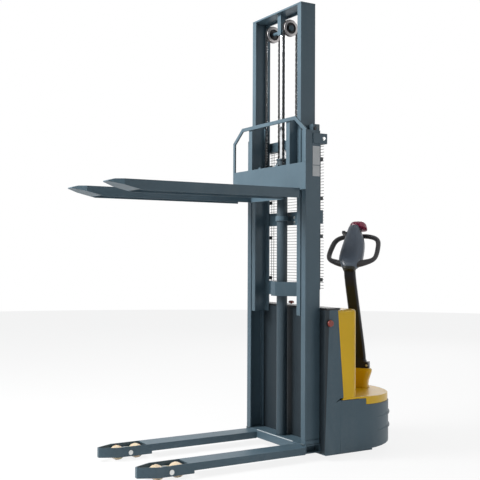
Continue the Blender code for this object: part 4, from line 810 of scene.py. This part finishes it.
beam_low, beam_high = corners(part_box("base_crossbeam"))
leg_low, leg_high = corners(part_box("support_leg_left"))
leg_top = leg_high.z
bm = bmesh.new()
seam = [(sign * (leg_low.x - 0.004), beam_low.y + 0.001, beam_high.z) for sign in (-1, 1)]
bead(bm, *seam, 0.0030)
added(bm, "crossbeam_weld", weld_bright, "chassis", False)
bm = bmesh.new()
inner_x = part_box("outer_mast_left")[0][0]
for sign in (-1, 1):
    foot = beam_high.z + 0.002
    bead(bm, at(sign * inner_x, -0.001, foot), at(sign * (OUTER_X - 0.004), -0.001, foot), 0.0042)
    bead(bm, at(sign * (OUTER_X + 0.0005), 0.004, beam_high.z + 0.001),
         at(sign * (OUTER_X + 0.0005), 0.099, beam_high.z + 0.001), 0.0026)
    ends = [at(sign * inner_x, tie_rear - 0.048, z) for z in (tie_low.z + 0.002, tie_high.z - 0.002)]
    bead(bm, *ends, 0.0022)
    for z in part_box("mast_mid_tie")[0][2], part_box("mast_mid_tie")[1][2]:
        bead(bm, at(sign * (inner_x + 0.004), 0.1045, z), at(sign * (OUTER_X - 0.004), 0.1045, z), 0.0024)
added(bm, "frame_welds", weld_steel, "chassis", False)
bm = bmesh.new()
plate_low, plate_high = corners(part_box("carriage_plate"))
for side, sign in (("left", 1), ("right", -1)):
    fork_low, fork_high = corners(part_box("fork_" + side))
    foot = plate_low.y - 0.0006
    ends = [(x, foot, fork_high.z + 0.0008) for x in (fork_low.x + 0.004, fork_high.x - 0.004)]
    bead(bm, *ends, 0.0028)
    side_low, side_high = corners(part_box("carriage_side_" + side))
    x = sign * min(abs(side_low.x), abs(side_high.x))
    ends = [(x, plate_high.y + 0.0008, z) for z in (side_low.z + 0.004, plate_high.z - 0.006)]
    bead(bm, *ends, 0.0024)
added(bm, "carriage_welds", weld_steel, "carriage", False)
print("weld beads done, leg top", round(leg_top, 4))

# %% [markdown]
# ## Bolts, pins and the lift cylinder's fittings
# Each fastener is a hexagon on a washer. The bogie's pivot shows at the leg's side as a
# bright ring with a countersunk middle, which a spun profile gives.

# %% Pivot rings and bolts
PIVOT_RING = ((0.0, 0.0015), (0.0045, 0.0015), (0.0060, 0.0042), (0.0125, 0.0042), (0.0140, 0.0030),
              (0.0140, 0.0002), (0.0, 0.0002))
bm = bmesh.new()
for side, sign in (("left", 1), ("right", -1)):
    bogie_low, bogie_high = corners(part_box("bogie_" + side))
    pivot = Vector((0, (bogie_low.y + bogie_high.y) / 2, 0.046))
    leg_a, leg_b = (corner[0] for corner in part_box("support_leg_" + side))
    for face, out in ((max(leg_a, leg_b), 1), (min(leg_a, leg_b), -1)):
        foot = Vector((face, pivot.y, pivot.z))
        spun(bm, PIVOT_RING, foot, foot + Vector((out, 0, 0)), 24)
added(bm, "pivot_rings", zinc, "chassis")

bm = bmesh.new()
mid_low, mid_high = corners(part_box("mast_mid_tie"))
cylinder_y = (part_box("lift_rod")[0][1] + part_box("lift_rod")[1][1]) / 2 - MAST_Y
for sign in (-1, 1):
    for z in (mid_low.z + 0.016, mid_high.z - 0.016):
        bolt(bm, at(sign * 0.058, 0.1032, z), (0, -1, 0), 0.0075)
    for z in (tie_low.z + 0.016, tie_high.z - 0.016):
        bolt(bm, at(sign * 0.250, tie_rear, z), (0, 1, 0), 0.0070)
    bolt(bm, at(sign * (OUTER_X + 0.0062), 0.124, (tie_low.z + tie_high.z) / 2), (sign, 0, 0), 0.0085)
added(bm, "tie_bolts", zinc, "chassis")

bm = bmesh.new()
ring_z = (mid_low.z + mid_high.z) / 2
CLAMP = ((0.0335, -0.005), (0.0385, -0.005), (0.0400, -0.0035), (0.0400, 0.0035), (0.0385, 0.005),
         (0.0335, 0.005), (0.0335, -0.005))
spun(bm, CLAMP, at(0, cylinder_y, ring_z - 0.5) + Vector((0, 0, 0.5)), at(0, cylinder_y, ring_z + 1.0), 40)
added(bm, "cylinder_clamp", zinc, "chassis")
print("clamp on the cylinder at", round(ring_z, 3))

# %% [markdown]
# ## The body's covers
# The rear cover meets the side panel on a slanted seam: higher up it comes further forward.
# Both are copies of their solids, cut by a plane at the deck's height, so that only what is
# above it leans. The body's front and a slanted strip of its sides are painted in shade: the
# strip stands in for the shading of a chamfered front corner, the front for the shade behind
# the mast. The deck's line rises towards the front, and a thin yellow lip carries it to the
# cover's foot.

# %% Slanted seam
deck_low, deck_high = corners(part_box("drive_deck"))
cover_low, cover_high = corners(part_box("rear_cover"))
SEAM_TOP, SEAM_FOOT = -0.018, 0.024
SHADE_STRIP = 0.033
RIM_RISE, TAIL_RISE = 0.023, 0.004
TAPER_FROM, TAPER_LENGTH = 0.56, 0.40
seam_y = cover_low.y


def rise(y):
    """Height that the deck's line gains, less towards the tail."""
    return RIM_RISE + (TAIL_RISE - RIM_RISE) * max(0.0, min(1.0, (y - TAPER_FROM) / TAPER_LENGTH))


def lean(bm):
    """Lean the rim of the seam above the deck."""
    for height in (cover_low.z - 0.0010, cover_low.z - 0.0002):
        split_at(bm, (0, 0, height), (0, 0, 1))
    for vert in bm.verts:
        if abs(vert.co.y - seam_y) < 0.003 and vert.co.z > cover_low.z - 0.0005 and abs(vert.co.x) > 0.30:
            share = (vert.co.z - cover_low.z) / (cover_high.z - cover_low.z)
            vert.co.y += SEAM_FOOT + (SEAM_TOP - SEAM_FOOT) * max(0.0, min(1.0, share))
    for vert in bm.verts:
        if vert.co.y > seam_y - 0.004 and cover_low.z - 0.0015 < vert.co.z < cover_low.z + 0.006:
            vert.co.z += rise(vert.co.y)


def shade_strip_depth(y, z):
    """How far a point lies behind the slanted edge of the painted shade strip."""
    return y - front_y - SHADE_STRIP * (z - foot_z) / (cover_high.z - foot_z)


for node, finish, width in (("body_housing", slate, 0.0012), ("rear_cover", yellow, 0.0018)):
    bm = solid_of(node)
    if node == "body_housing":
        front_y, foot_z = min(v.co.y for v in bm.verts), min(v.co.z for v in bm.verts)
        # Cut the body along the slanted edge of the painted shade strip.
        split_at(bm, (0, front_y, foot_z), (0, cover_high.z - foot_z, -SHADE_STRIP))
    lean(bm)
    faces = bevel_sharp(bm, width, 3)
    piece = finish_piece(bm, node + "_shown", finish, "chassis", faces)
    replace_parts(piece, node)
    if node == "body_housing":
        # Front faces and the slanted strip take the painted shade.
        piece.data.materials.append(painted_shade_coat.material)
        for face in piece.data.polygons:
            if face.normal.y < -0.7 or shade_strip_depth(face.center.y, face.center.z) < 0:
                face.material_index = 1
print("seam leans from", round(seam_y + SEAM_FOOT, 3), "to", round(seam_y + SEAM_TOP, 3))

# %% Deck, its lip and its rim
DECK_INSET, RIM_DISTANCE = 0.0050, 0.378
INSET_FROM, INSET_LENGTH = 0.10, 0.15
bm = solid_of("drive_deck")
for vert in bm.verts:
    if vert.co.y > deck_low.y + INSET_FROM:
        reach = min(1.0, (vert.co.y - deck_low.y - INSET_FROM) / INSET_LENGTH)
        radial = Vector((vert.co.x, vert.co.y - deck_low.y, 0))
        if radial.length > RIM_DISTANCE:
            vert.co -= radial.normalized() * DECK_INSET * reach
for vert in bm.verts:
    vert.co.z += rise(vert.co.y)
faces = bevel_sharp(bm, 0.0030, 4)
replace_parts(finish_piece(bm, "deck_shown", yellow, "chassis", faces), "drive_deck")
bm = bmesh.new()
for sign in (-1, 1):
    x0, x1 = sorted((sign * (deck_high.x - 0.060), sign * (deck_high.x - 0.0012)))
    block(bm, (x0, seam_y + SEAM_FOOT - 0.006, deck_high.z - 0.0112 + RIM_RISE),
          (x1, deck_low.y + 0.012, deck_high.z + 0.0004 + RIM_RISE), 0.0028, 3)
added(bm, "deck_lip", yellow, "chassis")
bm = solid_of("drive_skirt")
for vert in bm.verts:
    if vert.co.z > 0.26:
        vert.co.z += rise(vert.co.y)
faces = bevel_sharp(bm, 0.0025, 3)
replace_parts(finish_piece(bm, "skirt_shown", slate, "chassis", faces), "drive_skirt")
print("deck lip from", round(seam_y + SEAM_FOOT, 3))

# %% [markdown]
# ## Column feet and the tail's ribs
# A thin plate closes the gap under each mast column. Two shallow ribs run round the drive
# skirt. Each is a rod sunk in the skirt's face and swept along its curve, which is half an
# ellipse, and it thins to nothing at both ends.

# %% Column feet and ribs
outer_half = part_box("outer_mast_right")[1][0]
column_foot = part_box("outer_mast_right")[0][2]
bm = bmesh.new()
for sign in (-1, 1):
    x0, x1 = sorted((sign * (outer_half - 0.008), sign * (outer_half - 0.0004)))
    block(bm, (x0, MAST_Y + 0.001, 0.036), (x1, MAST_Y + 0.094, column_foot + 0.0004), 0.0015, 2)
added(bm, "column_feet", slate, "chassis")

skirt_high = Vector(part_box("drive_skirt")[1])
TAIL_START = MAST_Y + 0.360
bm = bmesh.new()
RIB_HEIGHTS, RIB_RADIUS, RIB_SINK, RIB_STEPS = (0.215, 0.135), 0.0110, 0.0035, 40
for height in RIB_HEIGHTS:
    path = []
    for i in range(RIB_STEPS + 1):
        turn = math.pi * (0.06 + 0.88 * i / RIB_STEPS)
        path.append(Vector((math.cos(turn) * (skirt_high.x - RIB_SINK),
                            TAIL_START + math.sin(turn) * (skirt_high.y - TAIL_START - RIB_SINK), height)))
    radii = [RIB_RADIUS * min(1.0, 0.15 + min(i, RIB_STEPS - i) / 10) for i in range(RIB_STEPS + 1)]
    sweep(bm, path, radii, 12)
added(bm, "bumper_ribs", slate, "chassis", False)
print("ribs end at y", round(max(v.y for v in path), 3))

# %% [markdown]
# ## The tiller's foot
# The tiller stands in a yellow casting that flares towards its top. It is a stack of rounded
# squares, each extruded from the one below and scaled to its own half width and half depth.
# On top sits the black hinge block, which is stacked the same way and tilts with the arm.

# %% Steering frame
STEER = math.radians(35.0)
STEER_Y = MAST_Y + 0.660
back = Vector((-math.sin(STEER), math.cos(STEER), 0))
steered = Matrix.Translation((0, STEER_Y, 0)) @ Matrix.Rotation(STEER, 4, "Z")


def oval_stack(bm, levels, frame_matrix, sides=28, power=0.55):
    """Stack rounded squares: each level is a height, half width, half depth and depth offset."""
    ring = bmesh.ops.create_circle(bm, cap_ends=True, segments=sides, radius=1.0)["verts"]
    for vert in ring:
        angle = math.atan2(vert.co.y, vert.co.x)
        cosine, sine = math.cos(angle), math.sin(angle)
        vert.co.x = math.copysign(abs(cosine) ** power, cosine)
        vert.co.y = math.copysign(abs(sine) ** power, sine)
    edges = list({e for v in ring for e in v.link_edges})
    before = Matrix()
    for i, (height, half_width, half_depth, offset) in enumerate(levels):
        after = Matrix.Translation((0, offset, height)) @ Matrix.Diagonal((half_width, half_depth, 1, 1))
        if i:
            grown = bmesh.ops.extrude_edge_only(bm, edges=edges)["geom"]
            ring = [g for g in grown if isinstance(g, bmesh.types.BMVert)]
            edges = [g for g in grown if isinstance(g, bmesh.types.BMEdge)]
        bmesh.ops.transform(bm, matrix=after @ before.inverted(), verts=ring)
        before = after
    bmesh.ops.edgeloop_fill(bm, edges=edges)
    bmesh.ops.transform(bm, matrix=frame_matrix, verts=bm.verts)


foot_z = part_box("tiller_base")[0][2] + 0.0006
bm = bmesh.new()
FOOT = ((0, 0.054, 0.041, 0), (0.003, 0.056, 0.043, 0), (0.014, 0.056, 0.043, 0),
        (0.024, 0.053, 0.040, -0.001), (0.055, 0.058, 0.038, -0.002), (0.085, 0.069, 0.036, -0.002),
        (0.108, 0.077, 0.034, -0.003), (0.122, 0.077, 0.031, -0.003), (0.130, 0.070, 0.026, -0.003))
oval_stack(bm, [(foot_z + level, *rest) for level, *rest in FOOT], steered)
base = added(bm, "tiller_foot", yellow, "steering")
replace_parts(base, "tiller_base")
bm = bmesh.new()
oval_stack(bm, [(0.4635, 0.060, 0.022, 0.0), (0.4655, 0.064, 0.025, 0.0), (0.478, 0.062, 0.025, 0.0),
                (0.496, 0.046, 0.024, 0.0), (0.515, 0.040, 0.021, -0.002), (0.519, 0.036, 0.018, -0.002)],
           steered, 28, 0.4)
added(bm, "hinge_block", black_coat, "tiller")
bm = bmesh.new()
for sign in (-1, 1):
    foot = steered @ Vector((sign * 0.050, -0.0245, 0.480))
    bolt(bm, foot, -back, 0.0065)
added(bm, "hinge_bolts", zinc, "tiller")
print("tiller foot", round(foot_z, 4), "to", round(foot_z + 0.13, 4))

# %% [markdown]
# ## The arm
# The arm is a flat curved box. Its front carries a long olive panel, a painted reflection of
# the yellow cover, and its sides are black. The solid's copy is widened a little about its own
# middle line and its front faces are given the painted reflection.

# %% Arm with a painted reflection
bm = solid_of("tiller_arm")
for vert in bm.verts:
    place = steered.inverted() @ vert.co
    widen = 1.18 + 0.16 * max(0.0, min(1.0, (0.80 - place.z) / 0.35))
    place.x *= widen
    vert.co = steered @ place
faces = bevel_sharp(bm, 0.0040, 3)
arm = finish_piece(bm, "arm_shown", black_coat, "tiller", faces)
# The arm's front faces get the olive painted reflection of the yellow cover.
arm.data.materials.append(olive_painted_reflection.material)
reflection_faces = 0
for face in arm.data.polygons:
    if face.normal.dot(-back) > 0.80 and 0.52 < face.center.z < 1.02:
        face.material_index = 1
        reflection_faces += 1
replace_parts(arm, "tiller_arm")
print("arm faces in olive:", reflection_faces)

# %% [markdown]
# ## The tiller head
# The head is a rounded barrel with a grip loop on each side. The barrel is a stack of ovals
# that is widest low down, finished with a Subdivision Surface, and its left upper corner is
# cut away to show the cap. Each loop is one tube swept along a bent path, so its thickness
# can change from the root to the grip.

# %% Head frame
HEAD_TILT, LOOP_TILT = math.radians(31.0), math.radians(46.0)
HEAD_FOOT = Vector((0, -0.232, 1.130))


def tilted(angle):
    """Frame at the head's foot: X across, Y to the rear, Z up along the tilt."""
    return steered @ Matrix.Translation(HEAD_FOOT) @ Matrix.Rotation(-angle, 4, "X")


def subdivide(piece):
    """Round a piece by one level of Subdivision Surface."""
    rounding = piece.modifiers.new("round", "SUBSURF")
    rounding.levels = rounding.render_levels = 1


SHOULDER, SHOULDER_LENGTH, SHOULDER_CUT = 0.19, 0.115, 0.80
barrel_frame, loop_frame = tilted(HEAD_TILT), tilted(LOOP_TILT)
bm = bmesh.new()
oval_stack(bm, [(-0.036, 0.030, 0.020, 0.000), (-0.032, 0.037, 0.025, 0.000), (-0.012, 0.058, 0.033, 0.002),
                (0.016, 0.073, 0.039, 0.004), (0.050, 0.077, 0.042, 0.006), (0.110, 0.074, 0.044, 0.012),
                (0.180, 0.067, 0.046, 0.021), (0.240, 0.061, 0.047, 0.028), (0.285, 0.056, 0.044, 0.030),
                (0.304, 0.046, 0.034, 0.030), (0.311, 0.030, 0.022, 0.030)], barrel_frame, 24, 0.62)
for vert in bm.verts:
    place = barrel_frame.inverted() @ vert.co
    if place.z > SHOULDER and place.x > 0:
        place.x *= 1 - SHOULDER_CUT * min(1.0, (place.z - SHOULDER) / SHOULDER_LENGTH)
        vert.co = barrel_frame @ place
barrel = added(bm, "head_barrel", head_plastic, "tiller", False)
subdivide(barrel)
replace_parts(barrel, "tiller_head")

bm = bmesh.new()
LOOP = ((0.020, 0.000, 0.026), (0.060, 0.006, 0.025), (0.100, 0.020, 0.0215), (0.136, 0.038, 0.0170),
        (0.151, 0.062, 0.0160), (0.154, 0.100, 0.0165), (0.152, 0.140, 0.0170), (0.148, 0.180, 0.0170),
        (0.142, 0.206, 0.0165), (0.128, 0.230, 0.0155), (0.104, 0.246, 0.0150), (0.070, 0.256, 0.0150),
        (0.030, 0.259, 0.0145))


def rounded(points, passes=2):
    """Cut every corner of a path, which rounds it."""
    for _ in range(passes):
        cut = [points[0]]
        for first, second in zip(points, points[1:]):
            cut.append(first.lerp(second, 0.25))
            cut.append(first.lerp(second, 0.75))
        points = cut + [points[-1]]
    return points


for sign in (-1, 1):
    dense = rounded([Vector((sign * u, 0.0, s, r)) for u, s, r in LOOP])
    sweep(bm, [loop_frame @ Vector((p[0], 0, p[2])) for p in dense], [(p[3], p[3] * 0.86) for p in dense], 16)
loops = added(bm, "head_loops", grip_rubber, "tiller", False)
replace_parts(loops, "tiller_head")
print("head loops faces", len(loops.data.polygons))

# %% Cap, collar and grip dimples
bm = bmesh.new()
cap_frame = barrel_frame @ Matrix.Translation((0.005, -0.010, 0))
oval_stack(bm, [(0.279, 0.052, 0.030, 0.041), (0.282, 0.058, 0.038, 0.041), (0.290, 0.057, 0.042, 0.040),
                (0.304, 0.054, 0.041, 0.038), (0.315, 0.048, 0.037, 0.037), (0.324, 0.036, 0.028, 0.036),
                (0.326, 0.014, 0.012, 0.036)], cap_frame, 28, 0.66)
cap = added(bm, "crimson_cap", crimson, "belly_button", False)
subdivide(cap)
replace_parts(cap, "belly_button")
bm = bmesh.new()
oval_stack(bm, [(-0.044, 0.034, 0.0225, 0.0), (-0.040, 0.037, 0.025, 0.0), (-0.030, 0.042, 0.028, 0.0),
                (-0.026, 0.041, 0.027, 0.0)], barrel_frame, 28, 0.5)
# The collar is olive as a painted reflection of the yellow cover, like the arm's front.
added(bm, "head_collar", olive_painted_reflection, "tiller")
bm = bmesh.new()
for sign in (-1, 1):
    for v, s in ((-0.0155, 0.100), (-0.0155, 0.120), (-0.0155, 0.140), (-0.0155, 0.160)):
        place = loop_frame @ Vector((sign * 0.1530, v, s))
        out = loop_frame.to_3x3() @ Vector((0, -1, 0))
        rod(bm, place - out * 0.001, place + out * 0.0016, 0.0046, 12, 0.0036)
added(bm, "grip_dimples", black_plastic, "tiller")
print("head finished")

# %% [markdown]
# ## Controls and small fittings on the body
# The emergency button stands on a yellow collar, the key in a bright bezel, and a round
# charge gauge sits between them. The red disconnect knob on the side has a short black
# boot behind it.

# %% Body fittings
stop_low, stop_high = corners(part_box("emergency_stop"))
key_low, key_high = corners(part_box("key_switch"))
stop = (stop_low + stop_high) / 2
key = (key_low + key_high) / 2
cover_top = cover_high.z
gauge = Vector(((stop.x + key.x) / 2, stop.y, cover_top))
RIMS = (
    ("stop_collar", yellow, "yellow_paint", stop,
     ((0.0200, 0.0006), (0.0200, 0.0040), (0.0215, 0.0052), (0.0255, 0.0050), (0.0270, 0.0036),
      (0.0270, 0.0006))),
    ("key_bezel", zinc, "bright_steel", key,
     ((0.0100, 0.0006), (0.0100, 0.0030), (0.0115, 0.0040), (0.0150, 0.0036), (0.0160, 0.0022),
      (0.0160, 0.0006))),
    ("gauge_rim", black_plastic, "black_plastic", gauge,
     ((0.0190, 0.0006), (0.0190, 0.0044), (0.0205, 0.0058), (0.0235, 0.0052), (0.0245, 0.0036),
      (0.0245, 0.0006))))
for name, finish, slot, centre, profile in RIMS:
    bm = bmesh.new()
    foot = Vector((centre.x, centre.y, cover_top))
    spun(bm, profile + profile[:1], foot, foot + Vector((0, 0, 1)), 32)
    added(bm, name, finish, "chassis")
bm = bmesh.new()
rod(bm, gauge, gauge + Vector((0, 0, 0.0040)), 0.0188, 32)
added(bm, "gauge_face", lens_dark, "chassis")
knob_low, knob_high = corners(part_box("battery_disconnect_knob"))
knob = (knob_low + knob_high) / 2
body_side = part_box("body_housing")[1][0]
bm = bmesh.new()
rod(bm, (body_side - 0.016, knob.y, knob.z), (body_side + 0.002, knob.y, knob.z), 0.0225, 28, 0.0215)
added(bm, "knob_ring", black_plastic, "chassis")
print("fittings at", [round(v, 3) for v in stop], [round(v, 3) for v in knob])
